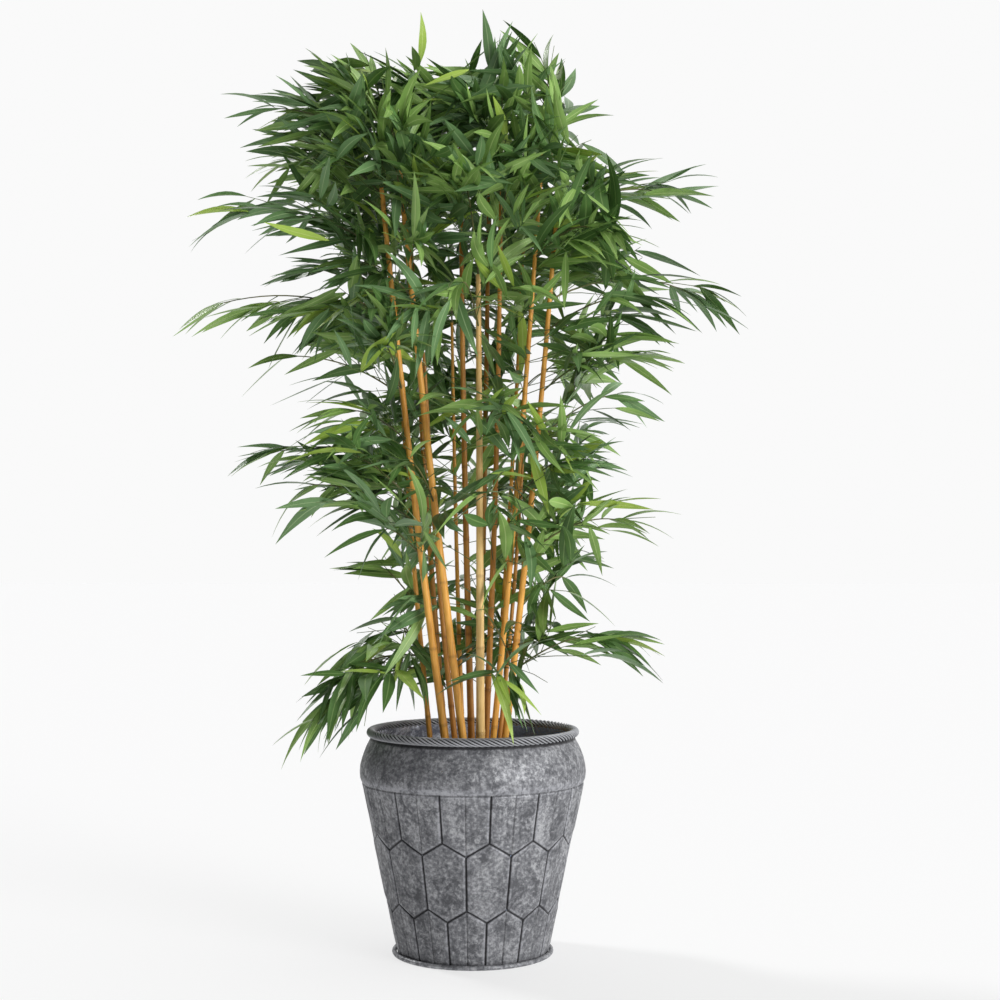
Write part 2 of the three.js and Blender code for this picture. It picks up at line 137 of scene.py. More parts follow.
# bump is the relief's strength and distance
def setSurface(tree, shader, inputs, height, bump):
    strength, distance = bump
    relief = addNode(tree, "ShaderNodeBump", {"Strength": strength, "Distance": distance, "Height": height})
    setInputs(tree, shader, {**inputs, "Normal": relief["Normal"]})


def finishPiece(name, mesh, material, nodes, smooth=True):
    shell = bmesh.new()
    shell.from_mesh(mesh)
    if shell.calc_volume(signed=True) < 0:
        mesh.flip_normals()
    shell.free()
    mesh.polygons.foreach_set("use_smooth", [smooth] * len(mesh.polygons))
    mesh.materials.clear()
    mesh.materials.append(material)
    piece = bpy.data.objects.new(name, mesh)
    bpy.context.scene.collection.objects.link(piece)
    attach(piece, "root")
    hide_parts(*nodes)
    triangles = sum(len(face.vertices) - 2 for face in mesh.polygons)
    print(f"  {name}: {triangles} triangles")


def makeMesh(name, points, faces, edges=()):
    mesh = bpy.data.meshes.new(name)
    mesh.from_pydata(points, edges, faces)
    mesh.update(calc_edges=True)
    return mesh


def addPointValues(mesh, name, values):
    attribute = mesh.attributes.new(name, "FLOAT", "POINT")
    attribute.data.foreach_set("value", np.asarray(values, dtype=np.float32).ravel())


def runTree(name, mesh, tree, values):
    holder = bpy.data.objects.new(name + "Source", mesh)
    bpy.context.scene.collection.objects.link(holder)
    modifier = holder.modifiers.new("nodes", "NODES")
    modifier.node_group = tree
    for item in tree.interface.items_tree:
        if item.in_out == "INPUT" and item.name in values:
            modifier[item.identifier] = values[item.name]
    graph = bpy.context.evaluated_depsgraph_get()
    result = bpy.data.meshes.new_from_object(holder.evaluated_get(graph))
    holder.modifiers.remove(modifier)
    bpy.data.objects.remove(holder)
    result.name = name
    return result


# a grid of rings closed round, with both ends closed by a fan on a middle point
def closedRings(rings, firstMiddle, lastMiddle):
    count, around = len(rings), len(rings[0])
    points = [point for ring in rings for point in ring] + [firstMiddle, lastMiddle]
    faces = []
    for row in range(count - 1):
        low, high = row * around, (row + 1) * around
        faces += [(low + i, low + (i + 1) % around, high + (i + 1) % around, high + i) for i in range(around)]
    last = (count - 1) * around
    faces += [((i + 1) % around, i, count * around) for i in range(around)]
    faces += [(last + i, last + (i + 1) % around, count * around + 1) for i in range(around)]
    return points, faces


def bell(offset, width):
    return math.exp(-(offset / width) ** 2)


# the value between two rows of a table, found by its first column
def readTable(value, rows, column=1):
    columns = list(zip(*rows))
    return float(np.interp(value, columns[0], columns[column]))


print("shared finishes")
mottleLook = {
    "streakStretch": (60.0, 60.0, 5.0), "fleckScale": 3.6, "stainScale": 1.5, "speckleHeight": 0.6,
    # each noise's range, and the tones that it gives
    "blotches": (0.32, 0.68, 0.0, 0.42), "speckle": (0.34, 0.66, 0.0, 0.58), "streaks": (0.3, 0.7, -0.5, 0.5),
    "flecks": (0.56, 0.68, 0.0, 0.3), "stains": (0.53, 0.64, 0.0, 0.34),
}
fibreLook = {"strands": (0.3, 0.7), "patches": (0.35, 0.65), "patchScale": 14.0}
leafTones = {"Base": (0.05, 0.1, 0.03, 1.0), "Rib": (0.1, 0.2, 0.05, 1.0), "Shade": (0.02, 0.05, 0.02, 1.0)}
veinLook = {
    "rib": (0.02, 0.06, 1.0, 0.0),     # by the distance from the middle, where the leaf's width is 1
    "ribShare": 0.75, "lineCount": 88.0, "lineShare": 0.18, "lineHeight": 0.35,
    "changeScale": 11.0, "change": (0.35, 0.65), "changeShare": 0.7,
}


# dark and pale blotches, fine speckle, pale flecks, dark stains and soft streaks down the surface
def makeMottle():
    tree, given, out = newTree("mottle", "ShaderNodeTree", {
        "Blotch Scale": 9.0, "Speckle Scale": 70.0, "Streaks": 0.3}, ["Tone", "Height"])
    place = objectPlace(tree)
    stretched = addNode(tree, "ShaderNodeMapping", {"Vector": place, "Scale": mottleLook["streakStretch"]})
    fleckScale, stainScale = (multiply(tree, given["Blotch Scale"], mottleLook[key])
                              for key in ("fleckScale", "stainScale"))
    noises = {
        "blotches": addNoise(tree, place, given["Blotch Scale"], detail=7.0, roughness=0.68, distortion=0.5),
        "speckle": addNoise(tree, place, given["Speckle Scale"], detail=6.0, roughness=0.66),
        "streaks": addNoise(tree, stretched[0], 1.0, detail=3.0),
        "flecks": addNoise(tree, place, fleckScale, detail=5.0, roughness=0.7, distortion=1.6),
        "stains": addNoise(tree, place, stainScale, detail=6.0, roughness=0.72, distortion=1.0),
    }
    tones = {name: remap(tree, value, *mottleLook[name]) for name, value in noises.items()}
    tone = add(tree, tones["blotches"], tones["speckle"])
    tone = add(tree, tone, multiply(tree, tones["streaks"], given["Streaks"]), clamp=True)
    tone = add(tree, tone, tones["flecks"])
    tree.links.new(calculate(tree, "SUBTRACT", tone, tones["stains"], clamp=True), out["Tone"])
    height = add(tree, multiply(tree, noises["speckle"], mottleLook["speckleHeight"]), noises["blotches"])
    tree.links.new(height, out["Height"])
    return tree


# lengthwise fibres on canes and stems
def makeFibres():
    tree, given, out = newTree(
        "fibres", "ShaderNodeTree", {"Across": 260.0, "Along": 7.0}, ["Tone", "Patches"])
    place = objectPlace(tree)
    scale = addNode(tree, "ShaderNodeCombineXYZ", {0: given["Across"], 1: given["Across"], 2: given["Along"]})
    stretched = addNode(tree, "ShaderNodeVectorMath", {0: place, 1: scale[0]}, operation="MULTIPLY")
    strands = addNoise(tree, stretched[0], 1.0, detail=5.0, roughness=0.6)
    patches = addNoise(tree, place, fibreLook["patchScale"], detail=4.0)
    tree.links.new(remap(tree, strands, *fibreLook["strands"]), out["Tone"])
    tree.links.new(remap(tree, patches, *fibreLook["patches"]), out["Patches"])
    return tree


# a leaf's pale rib, fine veins along it and a slow change of tone from leaf to leaf
def makeVeins():
    tree, given, out = newTree("veins", "ShaderNodeTree", leafTones, ["Colour", "Height"])
    leafMap = addNode(tree, "ShaderNodeUVMap", uv_map="leafMap")[0]
    across = addNode(tree, "ShaderNodeSeparateXYZ", {0: leafMap})[0]
    rib = remap(tree, calculate(tree, "ABSOLUTE", calculate(tree, "SUBTRACT", across, 0.5)), *veinLook["rib"])
    lines = remap(tree, calculate(tree, "SINE", multiply(tree, across, veinLook["lineCount"])), -1.0, 1.0)
    change = addNoise(tree, objectPlace(tree), veinLook["changeScale"], detail=2.0)
    change = multiply(tree, remap(tree, change, *veinLook["change"]), veinLook["changeShare"])
    blade = mixColour(tree, change, given["Base"], given["Shade"])
    blade = mixColour(tree, multiply(tree, lines, veinLook["lineShare"]), blade, given["Rib"])
    blade = mixColour(tree, multiply(tree, rib, veinLook["ribShare"]), blade, given["Rib"])
    tree.links.new(blade, out["Colour"])
    height = calculate(tree, "SUBTRACT", multiply(tree, lines, veinLook["lineHeight"]), rib)
    tree.links.new(height, out["Height"])
    return tree


mottle, fibres, veins = makeMottle(), makeFibres(), makeVeins()

print("zinc planter")
planter = {
    "panels": 14, "panelTurn": math.radians(9), "wall": 3.0, "floor": 8.0,
    "footRadius": 148.5, "taper": 0.212, "creaseHeight": 337.0,
    "seams": [(92.0, 115.0), (246.0, 220.0)],      # heights at a hexagon's middle and at its sides
    "band": [(337, 219.9), (341, 221.3), (346, 223.6), (358, 224.6), (371, 223.6), (384, 220.8), (396, 216.6),
             (406, 212.6), (416, 207.6), (423, 204.0), (430, 201.0)],
    "seamDepth": 2.6, "seamWidth": 1.8, "seamTop": 415, "farFromSeam": 40.0, "bandFrom": 5,
    "creaseShare": 0.34, "creaseZone": 4, "creaseSlope": 1.2,
    "pillow": 2.6, "pillowEdge": 9.0, "pillowPower": 0.6, "flatness": 3.0, "footFade": 18,
    "fold": (1.2, 0.7, 0.4),       # width, depth and painted shade of the soft fold down a low or high panel
    "dents": 1.0, "panelDents": 0.55, "dentGrains": (0.018, 2.7), "fineDents": 0.5,
    "ropeShadow": (420.5, 3, 0.9),   # painted shadow under the rope rim: where it starts, over what height it darkens, and how dark it gets
    # wear with a painted highlight beside the seams and above the crease, and painted light on the inner wall
    "seamWear": (3.6, 1.6), "creaseWearAndHighlight": (8, 5), "innerPaintedLight": 0.6,
    "columnShares": [0, 0.022, 0.045, 0.075, 0.12, 0.2, 0.32, 0.46, 0.6, 0.74, 0.85, 0.91, 0.95, 0.975],
    "rowShares": [0.012, 0.026, 0.045, 0.075, 0.13, 0.22, 0.34, 0.5, 0.66, 0.78, 0.87, 0.925, 0.955, 0.974,
                  0.988],
    "footShares": [0.0, 0.01, 0.05] + [0.12 * i for i in range(1, 7)],
    "bandRows": [337, 338.5, 340, 342, 344, 346.5, 350, 354, 359, 365, 371, 378, 385, 391, 397, 403, 408, 413,
                 417, 420, 422, 424, 427, 430],
    "innerRows": [(432, -1.2)] + [
        (height, -3) for height in (431, 426, 415, 404, 394, 384, 360, 330, 220, 100, 8)],
}
zincLook = {
    "dark": (0.088, 0.09, 0.099), "middle": (0.182, 0.185, 0.199), "pale": (0.4, 0.405, 0.42),
    # painted colours: the seam colour is painted shade; the inside tones and the blue are painted light on
    # the inner wall; the edge colour is wear with a painted highlight; the colour for low down and on the
    # left is painted shade
    "seam": (0.012, 0.012, 0.014), "inside": ((0.24, 0.26, 0.33), (0.86, 0.9, 1.0)),
    "paintedBlueLight": (0.5, 0.66, 1.0), "edge": (0.37, 0.375, 0.405), "lowLeftShade": (0.02, 0.02, 0.022),
    "streaks": 0.22, "evening": (0.55, 0.35), "darkTones": (0.18, 0.52), "paleTones": (0.5, 0.88),
    "wearAndHighlightTones": (0.3, 0.7, 0.25, 0.85), "seamTones": (0.1, 0.75, 0.0, 0.93), "insideTones": (0.3, 0.75),
    "paintedBlueLightPlace": (-0.02, 0.12, 0.0, 0.8), "lowShade": (0.0, 0.3, 0.2, 0.0), "leftShade": (-0.2, 0.0, 0.2, 0.0),
    "roughness": (0.68, 0.42), "metal": 0.35, "bumpDistance": 0.004,
}
zincFinishes = {
    # blotch scale, speckle scale, bump, shade of all tones, and how even they are
    "agedZinc": (17.0, 150.0, 0.45, 1.0, 0.0),
    "plainZinc": (20.0, 120.0, 0.25, 1.0, 0.0),
    "ropeZinc": (20.0, 120.0, 0.1, 1.4, 1.0),
    # painted shade: the rope's near black core
    "shadeZinc": (20.0, 120.0, 0.25, 0.1, 0.0),
}


def wave(turn):
    halfPanel = math.pi / planter["panels"]
    offset = (turn - planter["panelTurn"]) / (2 * halfPanel)
    return 2 * abs(offset - round(offset))       # 0 at a hexagon's middle, 1 at its sides


def seamHeights(turn):
    return [middle + (side - middle) * wave(turn) for middle, side in planter["seams"]]


def planterRadius(height):
    if height <= planter["creaseHeight"]:
        return planter["footRadius"] + planter["taper"] * height
    return readTable(height, planter["band"])


# radius, how much painted shade it takes in the seams, the crease, the folds and under the rope, and how much
# wear with a painted highlight it takes beside the seams and above the crease
def surfaceAt(turn, height):
    radius, share = planterRadius(height), wave(turn)
    arc = radius * math.pi / planter["panels"]
    low, high = seamHeights(turn)
    crease, inMiddle = height - planter["creaseHeight"], low < height < high
    nearest, push = planter["farFromSeam"], 0.0
    if crease <= 0:
        slopes = [math.cos(math.atan2(abs(side - middle), arc)) for middle, side in planter["seams"]]
        sideways = arc * ((1 - share) if inMiddle else share)
        nearest = min(abs(height - low) * slopes[0], abs(height - high) * slopes[1], sideways)
    # the groove share both sinks the wall and paints shade there
    groove = bell(nearest, planter["seamWidth"])
    if crease <= planter["creaseZone"]:
        groove = max(groove, planter["creaseShare"] * bell(crease, planter["seamWidth"]))
        nearest = min(nearest, abs(crease) * planter["creaseSlope"])
    if crease <= 0:
        panelShare = share if inMiddle else 1 - share
        inside = min(1.0, nearest / planter["pillowEdge"])
        push = planter["pillow"] * inside ** planter["pillowPower"]
        push -= planter["flatness"] * (1 - panelShare ** 2) * inside
        push *= min(1.0, height / planter["footFade"])
        foldWidth, foldDepth, foldShade = planter["fold"]
        fold = 0.0 if inMiddle else bell((1 - share) * arc, foldWidth)
        push -= foldDepth * fold
        groove = max(groove, foldShade * fold)
    grain, fineGrain = planter["dentGrains"]
    point = Vector((math.sin(turn) * radius, -math.cos(turn) * radius, height)) * grain
    dent = noise.noise(point) + planter["fineDents"] * noise.noise(point * fineGrain)
    push += planter["dents"] * dent * (1.0 if crease > planter["bandFrom"] else planter["panelDents"])
    # a painted shadow darkens the wall just under the rope rim
    shadowFrom, shadowOver, shadowShare = planter["ropeShadow"]
    groove = max(groove, shadowShare * min(1.0, max(0.0, (height - shadowFrom) / shadowOver)))
    (seamPlace, seamOver), (creasePlace, creaseOver) = planter["seamWear"], planter["creaseWearAndHighlight"]
    # wear with a painted highlight beside the seams and above the crease
    wearAndHighlight = max(bell(nearest - seamPlace, seamOver), bell(crease - creasePlace, creaseOver))
    depth = planter["seamDepth"] * groove if height < planter["seamTop"] else 0.0
    return radius - depth + push, groove, wearAndHighlight


def makePlanterWall():
    halfPanel = math.pi / planter["panels"]
    turns = [planter["panelTurn"] + halfPanel * (k + share)
             for k in range(2 * planter["panels"]) for share in planter["columnShares"]]
    near = planter["rowShares"]
    columns = []
    for turn in turns:
        low, high = seamHeights(turn)
        spans = [(0, low, planter["footShares"] + near[-6:]), (low, high, [0.0] + near),
                 (high, planter["creaseHeight"], [0.0] + near)]
        heights = [bottom + (top - bottom) * share for bottom, top, shares in spans for share in shares]
        heights += planter["bandRows"]
        columns.append([(turn, height, *surfaceAt(turn, height)) for height in heights])
    rings, grooves, wearAndHighlights = [], [], []
    for row in zip(*columns):
        rings.append([(math.sin(t) * r * mm, -math.cos(t) * r * mm, h * mm) for t, h, r, _, _ in row])
        grooves += [g for *_, g, _ in row]
        wearAndHighlights += [w for *_, w in row]
    for height, inset in planter["innerRows"]:
        radius = planterRadius(min(height, planter["bandRows"][-1])) + inset
        rings.append([(math.sin(t) * radius * mm, -math.cos(t) * radius * mm, height * mm) for t in turns])
        grooves += [0.0] * len(turns)
        # the inner wall takes some of the pale edge colour as painted light
        wearAndHighlights += [planter["innerPaintedLight"]] * len(turns)
    points, faces = closedRings(rings, (0, 0, 0), (0, 0, planter["floor"] * mm))
    mesh = makeMesh("planterWall", points, faces)
    # masks of painted shade, of wear with a painted highlight, and of the inner wall's points
    addPointValues(mesh, "seam", grooves + [0.0, 0.0])
    addPointValues(mesh, "wearAndHighlight", wearAndHighlights + [0.0, 0.0])
    innerCount = len(planter["innerRows"]) * len(turns) + 2
    addPointValues(mesh, "inside", [0.0] * (len(points) - innerCount) + [1.0] * innerCount)
    return mesh


# worn edges with a painted highlight, dark seams and a line under the rope painted as shade, painted shade
# low down and on the left, and painted light that makes the inner wall brighter, bluer on the right
def paintPlanterWearAndLight(tree, colour, tone):
    # pale edges: wear with a painted highlight
    patchy = multiply(tree, readAttribute(tree, "wearAndHighlight"), remap(tree, tone, *zincLook["wearAndHighlightTones"]))
    colour = mixColour(tree, patchy, colour, zincLook["edge"])
    # painted shade in the grooves, the crease, the folds and under the rope rim
    seam = remap(tree, readAttribute(tree, "seam"), *zincLook["seamTones"])
    colour = mixColour(tree, seam, colour, zincLook["seam"])
    place = addNode(tree, "ShaderNodeSeparateXYZ", {0: objectPlace(tree)})
    # painted light: the inner wall is paler, and bluer towards the right
    inner = mixColour(tree, remap(tree, tone, *zincLook["insideTones"]), *zincLook["inside"])
    inner = mixColour(tree, remap(tree, place[0], *zincLook["paintedBlueLightPlace"]), inner, zincLook["paintedBlueLight"])
    # painted shade, darker towards the bottom and on the left
    lowLeftShade = add(tree, remap(tree, place[2], *zincLook["lowShade"]),
               remap(tree, place[0], *zincLook["leftShade"]))
    colour = mixColour(tree, lowLeftShade, colour, zincLook["lowLeftShade"])
    return mixColour(tree, readAttribute(tree, "inside"), colour, inner)


# cold grey zinc in dark, middle and pale tones
def makeZinc(name):
    blotchScale, speckleScale, bump, shade, even = zincFinishes[name]
    material, tree, shader = newMaterial(name)
    finish = useGroup(tree, mottle, {
        "Blotch Scale": blotchScale, "Speckle Scale": speckleScale, "Streaks": zincLook["streaks"]})
    dark, middle, pale = (tuple(shade * part for part in zincLook[key]) for key in ("dark", "middle", "pale"))
    low, high = zincLook["evening"]
    tone = remap(tree, finish["Tone"], 0.0, 1.0, low * even, 1 - high * even)
    colour = mixColour(tree, remap(tree, tone, *zincLook["darkTones"]), dark, middle)
    colour = mixColour(tree, remap(tree, tone, *zincLook["paleTones"]), colour, pale)
    if name == "agedZinc":
        colour = paintPlanterWearAndLight(tree, colour, finish["Tone"])
    roughness = remap(tree, finish["Tone"], 0.0, 1.0, *zincLook["roughness"])
    setSurface(tree, shader, {"Base Color": colour, "Roughness": roughness, "Metallic": zincLook["metal"]},
               finish["Height"], (bump, zincLook["bumpDistance"]))
    return material


finishPiece("planterWall", makePlanterWall(), makeZinc("agedZinc"), ["pot_body"])

footBead = {"ringRadius": 155.2, "radius": 4.6, "height": 4.65, "around": 160, "across": 14}


def makeBead(name, look):
    points, faces, around, across = [], [], look["around"], look["across"]
    for i in range(around):
        turn = 2 * math.pi * i / around
        for k in range(across):
            angle = 2 * math.pi * k / across
            radius = look["ringRadius"] + look["radius"] * math.cos(angle)
            height = look["height"] + look["radius"] * math.sin(angle)
            points.append((radius * math.cos(turn) * mm, radius * math.sin(turn) * mm, height * mm))
            ring, nextRing, nextRow = i * across, (i + 1) % around * across, (k + 1) % across
            faces.append((ring + k, nextRing + k, nextRing + nextRow, ring + nextRow))
    return makeMesh(name, points, faces)


finishPiece("footBead", makeBead("footBead", footBead), makeZinc("plainZinc"), ["pot_foot_ring"])

print("rope rim")
ropeRim = {
    "Ring Radius": 203 * mm, "Ring Height": 435.6 * mm, "Strand Offset": 6.8 * mm, "Strand Radius": 1.6 * mm,
    "Turns": -16.0, "Strands": 7, "Points": 340, "Sides": 8,
}
ropeCore = {"ringRadius": 203.0, "radius": 5.7, "height": 435.6, "around": 160, "across": 14}


# strands that wind round the core, along the rim
def makeRopeTree():
    tree, given, out = newTree(
        "ropeStrands", "GeometryNodeTree", {"Geometry": None, **ropeRim, "Material": None}, ["Geometry"])
    circle = addNode(tree, "GeometryNodeCurvePrimitiveCircle", {"Resolution": given["Points"], "Radius": 1.0})
    copies = addNode(tree, "GeometryNodeDuplicateElements", {
        "Geometry": circle[0], "Amount": given["Strands"]}, domain="SPLINE")
    place = addNode(tree, "GeometryNodeInputPosition")[0]
    x, y, _ = addNode(tree, "ShaderNodeSeparateXYZ", {0: place})
    share = calculate(tree, "DIVIDE", copies["Duplicate Index"], given["Strands"])
    phase = add(tree, multiply(tree, calculate(tree, "ARCTAN2", y, x), given["Turns"]),
                multiply(tree, share, 2 * math.pi))
    outwards, upwards = (multiply(tree, calculate(tree, operation, phase), given["Strand Offset"])
                         for operation in ("COSINE", "SINE"))
    radius = add(tree, given["Ring Radius"], outwards)
    x, y, z = multiply(tree, x, radius), multiply(tree, y, radius), add(tree, given["Ring Height"], upwards)
    target = addNode(tree, "ShaderNodeCombineXYZ", {0: x, 1: y, 2: z})
    strands = addNode(tree, "GeometryNodeSetPosition", {"Geometry": copies[0], "Position": target[0]})
    profile = addNode(tree, "GeometryNodeCurvePrimitiveCircle", {
        "Resolution": given["Sides"], "Radius": given["Strand Radius"]})
    tubes = addNode(tree, "GeometryNodeCurveToMesh", {"Curve": strands[0], "Profile Curve": profile[0]})
    return endTree(tree, tubes[0], given["Material"], out)


ropeZinc, shadeZinc = makeZinc("ropeZinc"), makeZinc("shadeZinc")
ropeSeed = bpy.data.meshes.new("ropeSeed")
ropeMesh = runTree("ropeRim", ropeSeed, makeRopeTree(), {**ropeRim, "Material": ropeZinc})
finishPiece("ropeRim", ropeMesh, ropeZinc, ["pot_rope_rim"])
# the core is painted near black, as shade in the gaps between the strands
finishPiece("ropeCore", makeBead("ropeCore", ropeCore), shadeZinc, ["pot_rope_rim"])

print("potting mix")
mix = {
    "top": 385.0, "bottom": 368.0, "gap": 0.6, "margin": 2, "sunk": 2, "rings": 22, "around": 90, "rise": 3.0,
    "grains": (0.03, 0.11), "fineShare": 0.6, "underShare": 0.985,
}
mixLook = {
    "mottle": {"Blotch Scale": 60.0, "Speckle Scale": 260.0, "Streaks": 0.0},
    "surface": {"Roughness": 0.9}, "bump": (0.6, 0.002),
    # dark and pale tones
    "darkMix": ((0.02, 0.018, 0.016), (0.08, 0.07, 0.06)),
    "barkChip": ((0.05, 0.038, 0.028), (0.19, 0.145, 0.105)),
}
chips = {
    "Density": 5200.0, "Smallest": 0.5, "Largest": 1.5, "Seed": 5, "Least Upward": 0.5,
    "Chip Size": (0.0075, 0.0045, 0.0022), "Tilt Low": (-0.35, -0.35, 0.0), "Tilt High": (0.35, 0.35, 6.28),
}


# slightly uneven, with its edge inside the planter's wall
def makeMix():
    edge = planterRadius(mix["top"]) - planter["wall"] - mix["gap"] - mix["margin"]
    grain, fineGrain = mix["grains"]
    rings = []
    for row in range(mix["rings"]):
        share = 1 - row / mix["rings"]
        ring = []
        for i in range(mix["around"]):
            turn = 2 * math.pi * i / mix["around"]
            x, y = edge * share * math.cos(turn), edge * share * math.sin(turn)
            rise = noise.noise(Vector((x, y, 0)) * grain)
            rise += mix["fineShare"] * noise.noise(Vector((x, y, 9)) * fineGrain)
            ring.append((x * mm, y * mm, (mix["top"] - mix["sunk"] + mix["rise"] * rise) * mm))
        rings.append(ring)
    under = [(x * mix["underShare"], y * mix["underShare"], mix["bottom"] * mm) for x, y, _ in rings[0]]
    middles = [(0, 0, mix["bottom"] * mm), (0, 0, (mix["top"] - mix["sunk"]) * mm)]
    return makeMesh("pottingMix", *closedRings([under] + rings, *middles))


# bark chips scattered over the mix's top
def makeChipTree():
    tree, given, out = newTree(
        "barkChips", "GeometryNodeTree", {"Geometry": None, **chips, "Material": None}, ["Geometry"])
    normal = addNode(tree, "GeometryNodeInputNormal")[0]
    upward = addNode(tree, "ShaderNodeSeparateXYZ", {0: normal})[2]
    facingUp = addNode(tree, "FunctionNodeCompare", {
        0: upward, 1: given["Least Upward"]}, operation="GREATER_THAN")[0]
    spots = addNode(tree, "GeometryNodeDistributePointsOnFaces", {
        "Mesh": given["Geometry"], "Selection": facingUp, "Density": given["Density"], "Seed": given["Seed"]})
    chip = addNode(tree, "GeometryNodeMeshIcoSphere", {"Radius": 1.0, "Subdivisions": 1})
    flat = addNode(tree, "GeometryNodeTransform", {"Geometry": chip[0], "Scale": given["Chip Size"]})
    turns = addNode(tree, "FunctionNodeRandomValue", {
        0: given["Tilt Low"], 1: given["Tilt High"]}, data_type="FLOAT_VECTOR")
    size = addNode(tree, "FunctionNodeRandomValue", {2: given["Smallest"], 3: given["Largest"]})
    scattered = addNode(tree, "GeometryNodeInstanceOnPoints", {
        "Points": spots[0], "Instance": flat[0], "Rotation": turns[0], "Scale": size[1]})
    return endTree(tree, scattered[0], given["Material"], out)


def makeMixMaterial(name):
    material, tree, shader = newMaterial(name)
    finish = useGroup(tree, mottle, mixLook["mottle"])
    colour = mixColour(tree, finish["Tone"], *mixLook[name])
    setSurface(tree, shader, {"Base Color": colour, **mixLook["surface"]}, finish["Height"], mixLook["bump"])
    return material


mixMaterial, chipMaterial = makeMixMaterial("darkMix"), makeMixMaterial("barkChip")
chipMesh = runTree("barkChips", makeMix(), makeChipTree(), {**chips, "Material": chipMaterial})
finishPiece("pottingMix", makeMix(), mixMaterial, ["potting_mix"])
finishPiece("barkChips", chipMesh, chipMaterial, ["potting_mix"], smooth=False)


print("canes")
caneShape = {
    "tipShare": 0.55, "bow": 7.0, "foot": 385.3, "topInset": 4, "sides": 18, "step": 24, "seed": 40,
    "firstRing": (20, 150), "ringEvery": (135, 200), "lastRing": 15,
    "ringZone": 12, "ringRows": (-9, -5, -3, -1.6, -0.5, 0.6, 2, 4, 8),
    "swell": (0.13, 4.5), "cut": (0.12, 0.9),     # shares of the radius, and over what height
    "ringDarkening": (1.2, 3.2),                          # darker band: how far under the ring, and over what height
}
canes = [
    # foot x and y, tip x, y and z, radius, colour
    ((-82, 12), (-158, 46, 1330), 5.6, "tan"),
    ((-49, -46), (-178, -112, 1500), 8.2, "tan"),
    ((-32, -10), (-98, -22, 1190), 6.2, "brown"),
    ((-14, -62), (-146, -128, 1570), 8.2, "tan"),
    ((-2, 22), (-26, 38, 1640), 7.2, "brown"),
    ((15, -66), (10, -122, 1330), 8.8, "pale"),
    ((24, -20), (56, -34, 1560), 6.6, "brown"),
    ((36, -48), (138, -92, 1610), 6.4, "tan"),
    ((59, -34), (166, -78, 1480), 7.2, "tan"),
    ((50, 12), (108, 44, 1120), 4.8, "brown"),
    ((-20, 46), (-44, 118, 1270), 5.2, "tan"),
    ((12, 68), (34, 168, 1580), 7.0, "brown"),
    ((40, 42), (104, 112, 1420), 5.4, "tan"),
    ((-54, 42), (-132, 136, 1480), 6.4, "brown"),
]
caneColours = {
    # dark fibres, light fibres, rings
    "pale": ((0.55, 0.31, 0.08), (0.9, 0.64, 0.28), (0.3, 0.15, 0.05)),
    "tan": ((0.5, 0.205, 0.026), (0.9, 0.48, 0.1), (0.24, 0.1, 0.025)),
    "brown": ((0.28, 0.11, 0.017), (0.7, 0.33, 0.07), (0.14, 0.055, 0.016)),
}
caneLook = {
    "fibres": {"Across": 230.0, "Along": 6.0}, "fibreShare": 0.6, "patchShare": 0.4, "ringShare": 0.42,
    "surface": {"Roughness": 0.4, "Specular IOR Level": 0.3}, "bump": (0.25, 0.001),
}


def tipHeight(cane):
    return cane[1][2]


# a cane's middle and radius at a height
def caneAt(cane, height):
    foot, tip, radius, _ = cane
    share = (height - mix["top"]) / (tip[2] - mix["top"])
    bow = caneShape["bow"] * math.sin(math.pi * share)
    out = math.hypot(tip[0], tip[1])
    x, y = (low + (high - low) * share + bow * high / out for low, high in zip(foot, tip))
    return Vector((x, y, height)), radius * (1 + (caneShape["tipShare"] - 1) * share)


def caneRingHeights(index):
    chance = random.Random(caneShape["seed"] + index)
    height, heights = caneShape["foot"] + chance.uniform(*caneShape["firstRing"]), []
    while height < tipHeight(canes[index]) - caneShape["lastRing"]:
        heights.append(height)
        height += chance.uniform(*caneShape["ringEvery"])
    return heights


def canePath(index):
    cane, rings = canes[index], caneRingHeights(index)
    foot, top, every = caneShape["foot"], tipHeight(cane), caneShape["step"]
    steps = {round(foot + every * i, 2) for i in range(int((top - foot) / every) + 1)} | {top}
    heights = {step for step in steps if all(abs(step - ring) > caneShape["ringZone"] for ring in rings)}
    heights |= {round(ring + offset, 2) for ring in rings for offset in caneShape["ringRows"]}
    (swellShare, swellOver), (cutShare, cutOver) = caneShape["swell"], caneShape["cut"]
    darkeningPlace, darkeningOver = caneShape["ringDarkening"]
    path = []
    for height in sorted(height for height in heights if height <= top):
        point, radius = caneAt(cane, height)
        swell, ringDarkening = 0.0, 0.0
        for offset in [height - ring for ring in rings]:
            swell = max(swell, swellShare * bell(offset, swellOver)) - cutShare * bell(offset, cutOver)
            ringDarkening = max(ringDarkening, bell(offset + darkeningPlace, darkeningOver))
        path.append((point, radius * (1 + swell), ringDarkening))
    return path


# a round tube along every path, as thick as its points say
def makeTubeTree():
    tree, given, out = newTree(
        "tubesOnPaths", "GeometryNodeTree", {"Geometry": None, "Sides": 8, "Material": None}, ["Geometry"])
    paths = addNode(tree, "GeometryNodeMeshToCurve", {"Mesh": given["Geometry"]})
    thickness = addNode(tree, "GeometryNodeInputNamedAttribute", {"Name": "thickness"})
    profile = addNode(tree, "GeometryNodeCurvePrimitiveCircle", {"Resolution": given["Sides"], "Radius": 1.0})
    tubes = addNode(tree, "GeometryNodeCurveToMesh", {
        "Curve": paths[0], "Profile Curve": profile[0], "Scale": thickness[0],
        "Fill Caps": True})
    return endTree(tree, tubes[0], given["Material"], out)


tubeTree = makeTubeTree()


